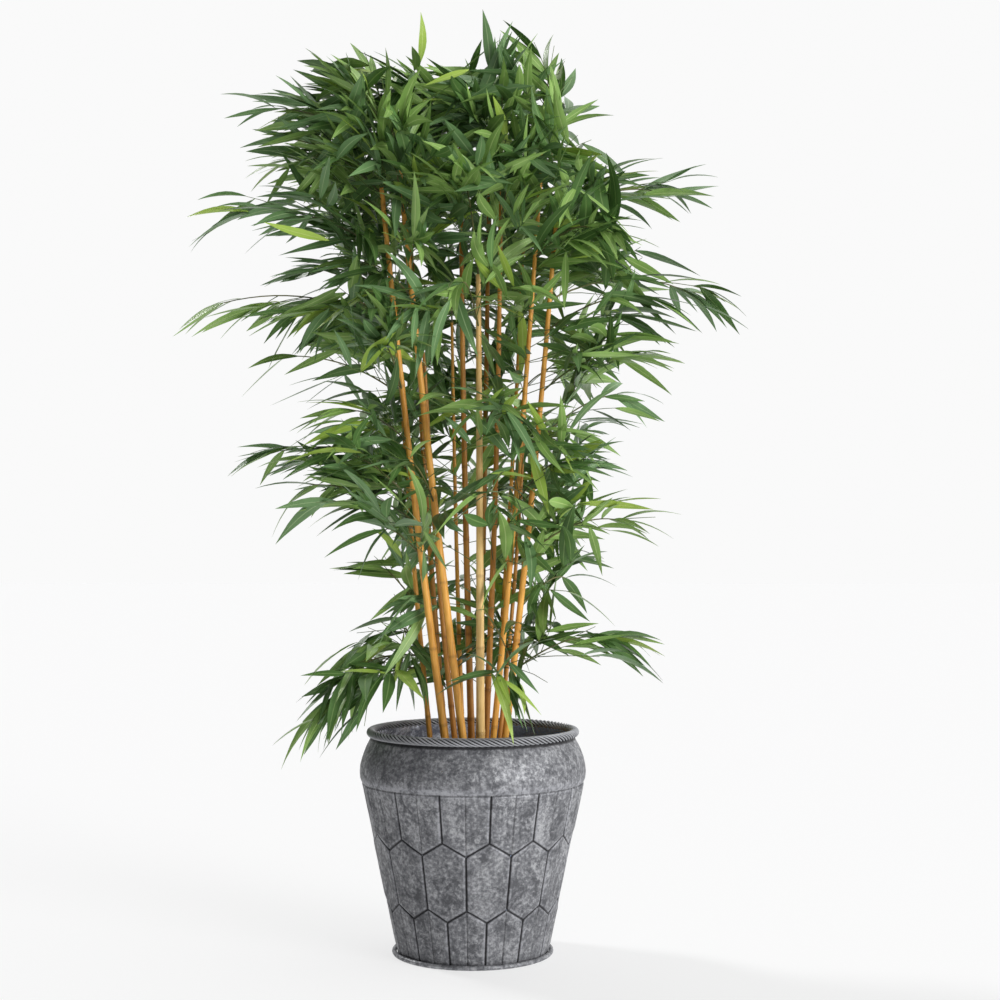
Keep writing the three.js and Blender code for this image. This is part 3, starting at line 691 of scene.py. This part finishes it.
# paths are lists of points with their radius, both in mm, and a cane's points also say how much darker they
# are under a ring
def makeTubes(name, paths, sides, material):
    points, radii, *stains = zip(*(row for path in paths for row in path))
    edges, first = [], 0
    for path in paths:
        edges += [(first + i, first + i + 1) for i in range(len(path) - 1)]
        first += len(path)
    mesh = makeMesh(name + "Paths", [point * mm for point in points], [], edges)
    addPointValues(mesh, "thickness", [radius * mm for radius in radii])
    # how much darker a cane is just under each ring
    for values in stains:
        addPointValues(mesh, "ring", values)
    return runTree(name, mesh, tubeTree, {"Sides": sides, "Material": material})


def makeCaneMaterial(name, dark, light, ringColour):
    material, tree, shader = newMaterial(name)
    finish = useGroup(tree, fibres, caneLook["fibres"])
    blend = add(tree, multiply(tree, finish["Tone"], caneLook["fibreShare"]),
                multiply(tree, finish["Patches"], caneLook["patchShare"]), clamp=True)
    ring = multiply(tree, readAttribute(tree, "ring"), caneLook["ringShare"])
    colour = mixColour(tree, ring, mixColour(tree, blend, dark, light), ringColour)
    setSurface(tree, shader, {"Base Color": colour, **caneLook["surface"]}, finish["Tone"], caneLook["bump"])
    return material


for colourName, colours in caneColours.items():
    chosen = [i for i, (*_, caneColour) in enumerate(canes) if caneColour == colourName]
    material = makeCaneMaterial(colourName + "Cane", *colours)
    mesh = makeTubes(colourName + "Canes", [canePath(i) for i in chosen], caneShape["sides"], material)
    finishPiece(colourName + "Canes", mesh, material, [f"cane_{i + 1:02d}" for i in chosen])


print("stems, twigs and leaves")
# where a tier's stems leave the canes; reach, height of the tips and their droop, each to the left, right and
# back; then each spray's cane and bearing, its share of the reach and the colour of its last leaf
tiers = [dict(zip(("height", "reach", "tips", "droop", "sprays"), row)) for row in [
    (560, (400, 385, 270), (408, 592, 480), (0.05, 0.35, 0.3),
     [(1, 180), (9, 0, 1, "limeLeaves"), (8, 290), (1, 190, 0.78)]),
    (585, (352, 300, 255), (512, 600, 590), (0.0, 0.2, 0.3), [(1, 184), (1, 171, 0.85), (10, 345, 0.45)]),
    (610, (255, 250, 250), (600, 650, 620), (0.2, 0.2, 0.3), [(1, 176), (10, 20, 0.8), (9, 330, 0.6)]),
    (690, (300, 300, 290), (780, 745, 720), (0.25, 0.2, 0.3), [(1, 168), (9, 12)]),
    (790, (300, 430, 330), (800, 876, 840), (0.35, 0.1, 0.3), [(2, 196), (9, 345), (10, 48), (14, 128)]),
    (850, (400, 300, 300), (832, 860, 850), (1.1, 0.5, 0.5), [(2, 183)]),
    (890, (494, 320, 350), (950, 980, 940), (0.6, 0.3, 0.3),
     [(1, 178), (8, 318), (4, 244), (12, 84), (10, 10), (2, 202, 0.85)]),
    (1010, (400, 396, 380), (1020, 1062, 1040), (0.4, 0.6, 0.3),
     [(2, 208), (9, 8), (6, 284), (14, 112, 0.9)]),
    (1110, (480, 430, 390), (1108, 1180, 1160), (0.9, 0.2, 0.3),
     [(1, 172), (9, 342), (13, 52), (2, 238, 0.9), (12, 100, 0.9)]),
    (1230, (598, 460, 400), (1218, 1230, 1270), (0.6, 0.6, 0.3),
     [(2, 184), (9, 350), (6, 264), (14, 122, 1.08), (2, 174, 0.72), (2, 192, 0.62)]),
    (1290, (450, 556, 400), (1330, 1296, 1350), (0.3, 0.2, 0.3),
     [(4, 206, 0.8), (9, 6, 1, "limeLeaves"), (2, 180, 0.95), (11, 98, 1.09)]),
    (1370, (574, 500, 400), (1450, 1380, 1430), (0.25, 0.15, 0.3),
     [(2, 189, 1, "limeLeaves"), (8, 322, 0.9), (12, 70, 1.05), (9, 14, 0.74)]),
    (1450, (480, 504, 400), (1550, 1545, 1540), (0.5, 0.0, 0.3),
     [(14, 158), (9, 4), (4, 238, 0.8), (7, 288, 0.8), (6, 264, 0.9), (2, 176, 0.97)]),
    (1490, (470, 300, 340), (1612, 1600, 1600), (0.35, 0.3, 0.3), [(2, 180), (14, 164, 0.9), (12, 84, 0.95)]),
    (1540, (506, 285, 360), (1708, 1655, 1660), (0.1, 0.4, 0.3),
     [(4, 184), (8, 345), (12, 58), (5, 136, 0.8), (4, 176, 0.82)]),
    (1600, (420, 270, 300), (1740, 1700, 1720), (0.2, 0.2, 0.2),
     [(5, 222, 0.7), (4, 174, 0.86), (12, 100, 0.95), (7, 282, 0.9)]),
    (1660, (262, 214, 170), (1800, 1780, 1840), (0.0, 0.1, 0.0),
     [(4, 186, 1.3), (8, 10), (7, 276), (12, 96), (4, 170)]),
    (1720, (250, 165, 120), (1822, 1850, 1850), (0.2, 0.2, 0.0), [(8, 6), (4, 178)]),
]]
# pale leaves that stand out: cane, height on it, where the leaf starts, its tip
paleLeaves = [
    (8, 590, (34, -200, 567), (76, -217, 445)),
    (4, 1560, (-104, -120, 1742), (-102, -130, 1842)),
    (2, 1370, (-276, -150, 1390), (-400, -172, 1432)),
    (9, 1010, (112, -120, 985), (146, -138, 866)),
    (7, 1550, (-8, -205, 1706), (-94, -222, 1672)),
]
spray = {
    "stemRadius": (1.9, 1.0), "stemSteps": 14, "inCane": 0.6, "bend": 0.42,
    "rise": (0.1, 0.4, 1.2), "topRise": 2,      # least, level and by the slope; and from a cane's top
    "tipLeaf": 124, "tipRoll": (-0.8, 0.8), "tipFan": (0.76, 0.84, 0.92), "tipFanScale": 0.95,
    "sleeve": (132, 80), "sleeveShares": [0.3 + 0.1 * i for i in range(8)],
    "twigRadius": (0.95, 0.55), "twigShares": (0, 0.35, 0.7, 1), "twigDroop": (-0.05, 0.22),
    "twigEvery": 32, "leastTwigs": 3, "twigSpan": (0.06, 0.95), "twigShift": (-0.25, 0.25), "inwards": 1.3,
    "thinFrom": 0.5, "thinShare": 0.68, "twigLength": (150, 75), "lengthRange": (0.6, 1.1),
    "twigTurn": (14, 52), "twigRise": (-0.25, 0.3), "twigRoll": (-0.9, 0.9), "twigScale": (1.06, 0.06),
    "fan": (5, 7), "outerFewer": 2, "fanLength": 58, "fanFrom": 0.1, "fanTurn": (12, 74),
    "fanNarrowing": (1.15, 0.45), "fanRoll": (-0.3, 0.3), "leafDroop": (-0.2, 0.5), "narrowing": 0.34,
    "roll": 0.7, "leafRoll": 0.6, "tilt": 0.34, "paleBow": 14, "paleUp": (0, -1, 0.4),
}
leafShape = {
    "length": (92, 152), "widthShare": (0.13, 0.182), "thickness": 0.5, "arch": (0.0, 0.07),
    "hangAt": (850, 1650), "hang": (0.22, 0.06),     # heights in the crown, and how far a leaf's tip hangs
    "twist": 0.6, "twistFrom": 0.2, "fold": (0.08, 0.3), "sway": 0.06,
    "stations": [(0.0, 0.1), (0.06, 0.34), (0.16, 0.68), (0.29, 0.93), (0.42, 1.0), (0.57, 0.87),
                 (0.72, 0.62), (0.86, 0.31), (0.95, 0.11), (1.0, 0.0)],
}
shoots = {
    "seed": 900, "lowest": 650, "firstShift": (0, 50),
    "early": {0: 480, 1: 560, 8: 585, 9: 560, 10: 515, 11: 500, 12: 530},
    "every": (60, 20), "between": (850, 1350), "everyRange": (0.6, 1.4),
    "length": (60, 200), "rise": (-0.1, 0.8), "spread": 115, "roll": 1.3, "leafRoll": 0.9, "tilt": 0.4,
    "topCount": 6, "topFrom": 1400, "topLength": (90, 200), "topRise": (0.2, 1.5),
}
crown = {
    # heights, and how far the dense part of the crown reaches to the left and to the right there
    "sides": [(480, 310, 60), (540, 300, 120), (600, 250, 200), (650, 230, 190), (700, 180, 150),
              (750, 180, 180), (800, 190, 225), (850, 200, 240), (900, 275, 225), (950, 345, 265),
              (1000, 390, 310),
              (1050, 310, 240), (1090, 270, 225), (1135, 165, 320), (1165, 210, 320), (1210, 360, 320),
              (1255, 325, 330), (1290, 300, 285), (1325, 262, 345), (1400, 280, 345), (1440, 330, 290),
              (1480, 380, 280), (1550, 375, 330), (1600, 400, 225), (1650, 370, 185), (1700, 325, 190),
              (1740, 350, 195), (1770, 340, 195), (1800, 300, 185), (1850, 200, 150)],
    "depths": sorted((tier["tips"][2], tier["reach"][2]) for tier in tiers),
    # highest and lowest leaves by the place from left to right
    "ceiling": [(-560, 1750), (-450, 1755), (-350, 1795), (-270, 1820), (-180, 1780), (-80, 1748), (0, 1758),
                (60, 1850), (120, 1840), (190, 1812), (250, 1765), (400, 1690)],
    "ceilingWaves": (24, 0.03),
    "hem": [(-420, 375), (-300, 386), (-240, 425), (-150, 460), (-60, 520), (50, 505), (110, 470), (250, 525),
            (400, 560)],
    "gaps": [(134, 1215, 34, 60), (130, 1120, 30, 48), (-205, 1145, 42, 36), (-232, 820, 60, 34),
             (-180, 905, 26, 30), (222, 1306, 54, 30), (215, 742, 40, 30), (-165, 745, 26, 30),
             (90, 690, 26, 26), (-560, 1330, 90, 50)],     # x, z and half sizes
    # the zone in front of the canes where they show through: half width, front, heights, grain and threshold
    "window": (165, -20, (560, 1350), 0.0085, 0.1),
    "pastTip": (4, 60),     # how far outwards and upwards a leaf may pass its spray's tip
    "rim": (478, 232), "rimShares": (0.4, 0.7, 1.0),
    "gapShare": 0.55, "windowShare": 0.5, "attempts": 5,
}
leafColours = {
    # share of the twigs, then base, rib and shaded tones; pale leaves come one by one
    "deepLeaves": (0.34, (0.082, 0.184, 0.044), (0.23, 0.35, 0.12), (0.03, 0.078, 0.014)),
    "greenLeaves": (0.42, (0.235, 0.4, 0.094), (0.44, 0.58, 0.22), (0.106, 0.215, 0.042)),
    "coolLeaves": (0.24, (0.14, 0.27, 0.1), (0.32, 0.45, 0.22), (0.056, 0.13, 0.04)),
    "limeLeaves": (0.0, (0.36, 0.52, 0.08), (0.48, 0.6, 0.17), (0.24, 0.39, 0.05)),
}
leafLook = {
    "paleShare": 0.05, "strayShare": 0.12, "sprayShare": 0.55, "darkOnes": ("deepLeaves", "coolLeaves"),
    "surface": {"Roughness": 0.34, "Specular IOR Level": 0.34}, "bump": (0.3, 0.0006),
}
leaves = {name: [] for name in leafColours}
stemPaths, twigPaths = [], []


def leadingFrame(along, roll=0.0, upward=Vector((0, 0, 1))):
    side = upward.cross(along)
    if side.length < 1e-4:
        side = Vector((1, 0, 0))
    side.normalize()
    side.rotate(Quaternion(along, roll))
    return side, along.cross(side).normalized()


def turnedWay(along, side, turn, droop):
    way = along * math.cos(turn) + side * math.sin(turn)
    way.z -= droop
    return way.normalized()


def risingWay(bearing, rise):
    return Vector((math.cos(bearing), math.sin(bearing), rise)).normalized()


# points with a radius that goes evenly from the first to the last
def tapered(points, radii):
    thick, thin = radii
    return [(point, thick + (thin - thick) * i / (len(points) - 1)) for i, point in enumerate(points)]


# where a tier's spray ends, and how much it droops there
def outlinePoint(tier, bearing, share):
    towards, across = math.cos(math.radians(bearing)), math.sin(math.radians(bearing))
    side = 1 if towards > 0 else 0
    reach = share / math.hypot(towards / tier["reach"][side], across / tier["reach"][2])
    height, droop = (row[2] + (row[side] - row[2]) * towards ** 2 for row in (tier["tips"], tier["droop"]))
    return Vector((towards * reach, across * reach, height)), droop


# a stem's arc, as the source draws it: from the cane's side, or its top, to a leaf short of the outline
def stemCurve(tier, cane, target, droop):
    start, radius = caneAt(cane, min(tier["height"], tipHeight(cane)))
    arriving = (target - start).normalized()
    arriving.z -= droop
    end = target - arriving.normalized() * spray["tipLeaf"]
    outwards = Vector((target.x - start.x, target.y - start.y, 0)).normalized()
    begin = outwards.copy()
    if tier["height"] > tipHeight(cane):
        begin.z = spray["topRise"]
    else:
        least, level, slope = spray["rise"]
        begin.z = max(least, level + slope * (end.z - start.z) / (end - start).length)
        start += outwards * radius * spray["inCane"]
    begin.normalize()
    span = (target - start).length
    bend = start + begin * span * spray["bend"]

    def at(share):
        return start.lerp(bend, share).lerp(bend.lerp(end, share), share)

    def heading(share):
        return (bend.lerp(end, share) - start.lerp(bend, share)).normalized()

    return at, heading, span


def offMiddle(point):
    return math.hypot(point.x, point.y)


def inGap(point):
    return any(math.hypot((point.x - x) / wide, (point.z - z) / high) < 1
               for x, z, wide, high in crown["gaps"])


# the crown's front thins out in patches, so that the canes show through
def inWindow(point):
    half, front, (low, high), grain, threshold = crown["window"]
    if abs(point.x) > half or point.y > front or not low < point.z < high:
        return False
    return noise.noise(point * grain) > threshold


# inside the crown's dense part, or close round the spray that a leaf grows on
def insideCrown(point, sleeve):
    if inGap(point) or inWindow(point):
        return False
    rise, grain = crown["ceilingWaves"]
    ceiling = readTable(point.x, crown["ceiling"]) + rise * noise.noise(point * grain)
    if not readTable(point.x, crown["hem"]) <= point.z <= ceiling:
        return False
    side = readTable(point.z, crown["sides"], 1 if point.x < 0 else 2)
    if math.hypot(point.x / side, point.y / readTable(point.z, crown["depths"])) < 1:
        return True
    if not sleeve:
        return False
    target, (outwards, upwards) = sleeve[-1][0], crown["pastTip"]
    if offMiddle(point) > offMiddle(target) + outwards or point.z > target.z + upwards:
        return False
    return any((point - middle).length < radius for middle, radius in sleeve)


# a leaf ends inside the crown, leaves the gaps free and hangs outside the planter's rim or well above it
def leafFits(root, leaf, sleeve):
    height, radius = crown["rim"]
    points = [root + leaf * share for share in crown["rimShares"]]
    return (all(point.z > height or offMiddle(point) > radius for point in points)
            and insideCrown(root + leaf, sleeve) and not inGap(root + leaf * crown["gapShare"])
            and not inWindow(root + leaf * crown["windowShare"]))


def dealColour(chance):
    pick, total = chance.random(), 0.0
    for name, (share, *_) in leafColours.items():
        total += share
        if pick < total:
            return name
    return "deepLeaves"


def addLeaf(chance, root, along, up, length, colour):
    side = along.cross(up).normalized()
    pick = chance.random()
    if pick < leafLook["paleShare"]:
        colour = "limeLeaves"
    elif pick < leafLook["paleShare"] + leafLook["strayShare"]:
        colour = dealColour(chance)
    leaves[colour].append((
        root, along, side, up, length, length * chance.uniform(*leafShape["widthShare"]),
        chance.uniform(*leafShape["arch"]),
        chance.random() * float(np.interp(root.z, leafShape["hangAt"], leafShape["hang"])),
        chance.uniform(-1, 1) * leafShape["twist"], chance.uniform(*leafShape["fold"]),
        chance.uniform(-1, 1) * leafShape["sway"]))


# a fan of leaves in turn on either side of a stalk's outer part, and one at its end
def addFan(chance, points, scale, colour, look, outer=0.0, sleeve=None):
    length = (points[-1] - points[0]).length
    first = max(spray["fanFrom"], 1 - spray["fanLength"] / length)
    count = chance.randint(*spray["fan"]) - round(spray["outerFewer"] * outer)
    roll = chance.uniform(-1, 1) * look["roll"]
    hand = chance.choice((-1, 1))
    widest, narrower = spray["fanNarrowing"]
    for k in range(count):
        share = first + (1 - first) * k / (count - 1)
        step = min(len(points) - 2, int(share * (len(points) - 1)))
        within = share * (len(points) - 1) - step
        along = (points[step + 1] - points[step]).normalized()
        side, up = leadingFrame(along, roll + chance.uniform(*spray["fanRoll"]))
        root = points[step].lerp(points[step + 1], within)
        for _ in range(crown["attempts"]):
            turn = 0.0
            if k < count - 1:
                turn = hand * (-1) ** k * math.radians(chance.uniform(*spray["fanTurn"]))
            turn *= (widest - narrower * k / count) * (1 - spray["narrowing"] * outer)
            way = turnedWay(along, side, turn, chance.uniform(*spray["leafDroop"]))
            way = (way + up * chance.uniform(-1, 1) * look["tilt"]).normalized()
            size = chance.uniform(*leafShape["length"]) * scale
            leafUp = leadingFrame(way, chance.uniform(-1, 1) * look["leafRoll"], up)[1]
            if leafFits(root, way * size, sleeve):
                addLeaf(chance, root, way, leafUp, size, colour)
                break


# a twig and its leaves, unless it ends outside the crown
def growTwig(chance, root, along, length, scale, colour, look, outer=0.0, sleeve=None):
    droop = chance.uniform(*spray["twigDroop"])
    points = [root + along * length * share - Vector((0, 0, droop * length * share ** 2))
              for share in spray["twigShares"]]
    if not insideCrown(points[-1], sleeve):
        return False
    twigPaths.append(tapered(points, spray["twigRadius"]))
    addFan(chance, points, scale, colour, look, outer, sleeve)
    return True


# a stem, the leaves at its end and its twigs, which are fewer and shorter further out
def growSpray(tier, caneNumber, bearing, share=1.0, tipColour=None):
    chance = random.Random(1000 * tier["height"] + 10 * bearing + caneNumber)     # each spray's own seed
    target, droop = outlinePoint(tier, bearing, share)
    at, heading, span = stemCurve(tier, canes[caneNumber - 1], target, droop)
    steps = spray["stemSteps"]
    stemPaths.append(tapered([at(i / steps) for i in range(steps + 1)], spray["stemRadius"]))
    sprayColour = dealColour(chance)
    end, last = at(1.0), (target - at(1.0)).normalized()
    slim = spray["sleeve"][1]
    sleeve = tapered([at(spot) for spot in spray["sleeveShares"]], spray["sleeve"])
    sleeve += [(end.lerp(target, 0.5), slim), (target, slim)]
    tipUp = leadingFrame(last, chance.uniform(*spray["tipRoll"]))[1]
    addLeaf(chance, end, last, tipUp, (target - end).length, tipColour or sprayColour)
    fanPoints = [at(spot) for spot in spray["tipFan"]] + [end]
    addFan(chance, fanPoints, spray["tipFanScale"], sprayColour, spray, 1.0, sleeve)
    count = max(spray["leastTwigs"], round(span / spray["twigEvery"]))
    (first, final), (long, short) = spray["twigSpan"], spray["twigLength"]
    scale, smaller = spray["twigScale"]
    for i in range(count):
        spot = min(1.0, max(0.0, (i + chance.uniform(*spray["twigShift"])) / (count - 1)))
        spot = first + (final - first) * spot ** spray["inwards"]
        colour = sprayColour if chance.random() < leafLook["sprayShare"] else dealColour(chance)
        if spot > spray["thinFrom"] and chance.random() < spray["thinShare"]:
            continue
        for _ in range(crown["attempts"]):
            along = heading(spot)
            side, _ = leadingFrame(along, chance.uniform(*spray["twigRoll"]))
            turn = (1 if i % 2 else -1) * math.radians(chance.uniform(*spray["twigTurn"]))
            turn *= 1 - spray["narrowing"] * spot
            way = turnedWay(along, side, turn, -chance.uniform(*spray["twigRise"]))
            length = (long + (short - long) * spot) * chance.uniform(*spray["lengthRange"])
            if growTwig(chance, at(spot), way, length, scale - smaller * spot, colour, spray, spot, sleeve):
                break


# small shoots spaced up the canes, inside the crown, and a tuft where a cane ends
def growShoots(index):
    chance = random.Random(shoots["seed"] + index)
    cane = canes[index]
    tipX, tipY, top = cane[1]
    outwards = math.atan2(tipY, tipX)
    height = shoots["early"].get(index, shoots["lowest"]) + chance.uniform(*shoots["firstShift"])
    while height < top:
        point, radius = caneAt(cane, height)
        bearing = outwards + math.radians(chance.uniform(-1, 1) * shoots["spread"])
        way = risingWay(bearing, chance.uniform(*shoots["rise"]))
        length = chance.uniform(*shoots["length"])
        start = point + way * radius * spray["inCane"]
        growTwig(chance, start, way, length, 1.0, dealColour(chance), shoots)
        every = float(np.interp(height, shoots["between"], shoots["every"]))
        height += every * chance.uniform(*shoots["everyRange"])
    if top < shoots["topFrom"]:
        return
    tuftPlace = caneAt(cane, top - caneShape["topInset"])[0]
    for _ in range(shoots["topCount"]):
        way = risingWay(chance.uniform(0, 2 * math.pi), chance.uniform(*shoots["topRise"]))
        length = chance.uniform(*shoots["topLength"])
        growTwig(chance, tuftPlace, way, length, 1.0, dealColour(chance), shoots)


# a listed leaf, set on a twig from its cane
def growPaleLeaf(caneNumber, height, root, tip):
    cane, root, tip = canes[caneNumber - 1], Vector(root), Vector(tip)
    start = caneAt(cane, min(height, tipHeight(cane) - caneShape["topInset"]))[0]
    points = [start.lerp(root, share) + Vector((0, 0, spray["paleBow"] * math.sin(math.pi * share)))
              for share in (0, 0.25, 0.5, 0.75, 1)]
    twigPaths.append(tapered(points, spray["twigRadius"]))
    way = (tip - root).normalized()
    leafUp = leadingFrame(way, 0.0, Vector(spray["paleUp"]))[1]
    addLeaf(random.Random(round(height)), root, way, leafUp, (tip - root).length, "limeLeaves")


for tier in tiers:
    for row in tier["sprays"]:
        growSpray(tier, *row)
for index in range(len(canes)):
    growShoots(index)
for paleLeaf in paleLeaves:
    growPaleLeaf(*paleLeaf)
leafTotal = sum(len(group) for group in leaves.values())
print(f"  {len(stemPaths)} stems, {len(twigPaths)} twigs, {leafTotal} leaves")


# all leaves of one colour as one mesh: rings of four points (side, top of the rib, side, under it) and a tip
def makeLeaves(name, group):
    parts = list(zip(*group))
    root, along, side, up = (np.array([tuple(value) for value in part])[:, None, :] for part in parts[:4])
    length, width, arch, hang, twist, fold, sway = (np.array(part)[:, None, None] for part in parts[4:])
    stations = np.array(leafShape["stations"])
    t, w = stations.T[:, :, None]       # places along a leaf, and its share of the full width there
    rise = 4 * arch * t * (1 - t) * length
    middle = root + along * (t * length) + up * rise + side * (sway * np.sin(math.pi * t) * length)
    middle[..., 2:] -= hang * t ** 2 * length
    turn = twist * (t - leafShape["twistFrom"])
    sideNow = side * np.cos(turn) + up * np.sin(turn)
    upNow = up * np.cos(turn) - side * np.sin(turn)
    half = w * width / 2
    raised = upNow * (fold * w * width / 2)
    thick = upNow * leafShape["thickness"] / 2
    rings = np.stack([middle - sideNow * half + raised, middle + thick, middle + sideNow * half + raised,
                      middle - thick], axis=2)[:, :-1]
    count, last = len(group), len(stations) - 1
    perLeaf = last * 4 + 1
    points = np.concatenate([rings.reshape(count, last * 4, 3), middle[:, -1:]], axis=1).reshape(-1, 3) * mm
    around, end = [(k, (k + 1) % 4) for k in range(4)], last * 4 - 4
    shape = [(row + a, row + b, row + b + 4, row + a + 4) for row in range(0, end, 4) for a, b in around]
    shape += [(3, 2, 1, 0)] + [(end + a, end + b, last * 4) for a, b in around]
    faces = [tuple(i * perLeaf + corner for corner in face) for i in range(count) for face in shape]
    mesh = makeMesh(name, points, faces)
    # the veins' map: across the leaf and along it
    across = np.array([0.0, 0.5, 1.0, 0.5] * last + [0.5])
    alongShare = np.append(np.repeat(stations[:-1, 0], 4), 1.0)
    corners = np.empty(len(mesh.loops), dtype=np.int32)
    mesh.loops.foreach_get("vertex_index", corners)
    local = corners % perLeaf
    leafMap = np.stack([across[local], alongShare[local]], axis=1)
    mesh.uv_layers.new(name="leafMap").data.foreach_set("uv", leafMap.ravel().astype(np.float32))
    # the two sides of a leaf are sharp edges
    ends = np.empty(len(mesh.edges) * 2, dtype=np.int32)
    mesh.edges.foreach_get("vertices", ends)
    ends = ends.reshape(-1, 2) % perLeaf
    onSide = (ends % 2 == 0) | (ends == last * 4)
    sharp = mesh.attributes.new("sharp_edge", "BOOLEAN", "EDGE")
    sharp.data.foreach_set("value", onSide.all(axis=1))
    return mesh


def makeLeafMaterial(name, tones):
    material, tree, shader = newMaterial(name)
    finish = useGroup(tree, veins, {label: (*tone, 1.0) for label, tone in zip(leafTones, tones)})
    inputs = {"Base Color": finish["Colour"], **leafLook["surface"]}
    setSurface(tree, shader, inputs, finish["Height"], leafLook["bump"])
    return material


massNames = sorted(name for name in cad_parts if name.startswith("foliage_"))
for name, (_, *tones) in leafColours.items():
    material = makeLeafMaterial(name[:-1], tones)
    finishPiece(name, makeLeaves(name, leaves[name]), material, massNames)

stemLook = {"fibres": {"Across": 300.0, "Along": 40.0}, "surface": {"Roughness": 0.5}, "bump": (0.2, 0.0005)}
stalks = {
    # paths, sides, name of the finish, dark and light fibres
    "stems": (stemPaths, 7, "oliveStem", (0.05, 0.06, 0.018), (0.17, 0.16, 0.05)),
    "twigs": (twigPaths, 5, "greenTwig", (0.04, 0.075, 0.02), (0.14, 0.2, 0.05)),
}


def makeStemMaterial(name, dark, light):
    material, tree, shader = newMaterial(name)
    finish = useGroup(tree, fibres, stemLook["fibres"])
    inputs = {"Base Color": mixColour(tree, finish["Patches"], dark, light), **stemLook["surface"]}
    setSurface(tree, shader, inputs, finish["Tone"], stemLook["bump"])
    return material


for name, (paths, sides, *finish) in stalks.items():
    material = makeStemMaterial(*finish)
    finishPiece(name, makeTubes(name, paths, sides, material), material, massNames)


print("studio")
studio = {
    "cameraPlace": (0.0, -3.4, 0.792), "lens": 61.2, "sensor": 36.0, "turnRight": 0.91, "tiltUp": 1.765,
    "floorSize": 80.0, "backdrop": (0.955, 0.955, 0.955), "roomLight": (1.0, 1.0, 1.0), "roomStrength": 1.05,
    "dimSide": (-0.85, -0.5, -0.15), "dimRange": (-0.5, 0.5), "dimTo": 0.05, "sunPlace": (0.0, 0.0, 4.0),
    "suns": [
        # name, direction, strength, spread in degrees
        ("backSun", (0.8, -0.6, -0.95), 1.25, 9),
        ("frontSun", (-0.74, 0.67, -0.14), 2.5, 30),
    ],
}
floorLook = {
    "Base Color": (0.31, 0.31, 0.312, 1.0), "Roughness": 1.0, "Specular IOR Level": 0.0,
    "Emission Color": (1.0, 1.0, 1.0, 1.0), "Emission Strength": 0.65,
}


# a sun lamp that shines in a direction
def addSun(name, towards, strength, spread):
    lamp = bpy.data.lights.new(name, "SUN")
    lamp.energy, lamp.angle = strength, math.radians(spread)
    light = bpy.data.objects.new(name, lamp)
    light.location = studio["sunPlace"]
    light.rotation_euler = Vector(towards).to_track_quat("-Z", "Y").to_euler()
    bpy.context.scene.collection.objects.link(light)


# the room is white, and dimmer on the left of the camera, so that the planter turns darker there
def makeRoom(world):
    world.use_nodes = True
    tree = world.node_tree
    way = addNode(tree, "ShaderNodeTexCoord")["Generated"]
    dimWay = tuple(Vector(studio["dimSide"]).normalized())
    facing = addNode(tree, "ShaderNodeVectorMath", {0: way, 1: dimWay}, operation="DOT_PRODUCT")["Value"]
    level = remap(tree, facing, *studio["dimRange"], studio["roomStrength"], studio["dimTo"])
    light = mixColour(tree, level, (0.0, 0.0, 0.0), studio["roomLight"])
    seen = addNode(tree, "ShaderNodeLightPath")["Is Camera Ray"]
    colour = mixColour(tree, seen, light, studio["backdrop"])
    setInputs(tree, tree.nodes["Background"], {"Color": colour, "Strength": 1.0})


def makeStudio():
    scene = bpy.context.scene
    camera = bpy.data.objects.new("camera", bpy.data.cameras.new("camera"))
    camera.data.lens, camera.data.sensor_width = studio["lens"], studio["sensor"]
    camera.location = studio["cameraPlace"]
    camera.rotation_euler = (math.radians(90 + studio["tiltUp"]), 0.0, -math.radians(studio["turnRight"]))
    scene.collection.objects.link(camera)
    scene.camera = camera
    half = studio["floorSize"] / 2
    corners = [(-half, -half, 0), (half, -half, 0), (half, half, 0), (-half, half, 0)]
    floor = bpy.data.objects.new("floor", makeMesh("floor", corners, [(0, 1, 2, 3)]))
    material, tree, shader = newMaterial("floorPaper")
    setInputs(tree, shader, floorLook)
    floor.data.materials.append(material)
    scene.collection.objects.link(floor)
    for sun in studio["suns"]:
        addSun(*sun)
    scene.world = scene.world or bpy.data.worlds.new("studio")
    makeRoom(scene.world)
    scene.view_settings.view_transform = "Standard"


makeStudio()
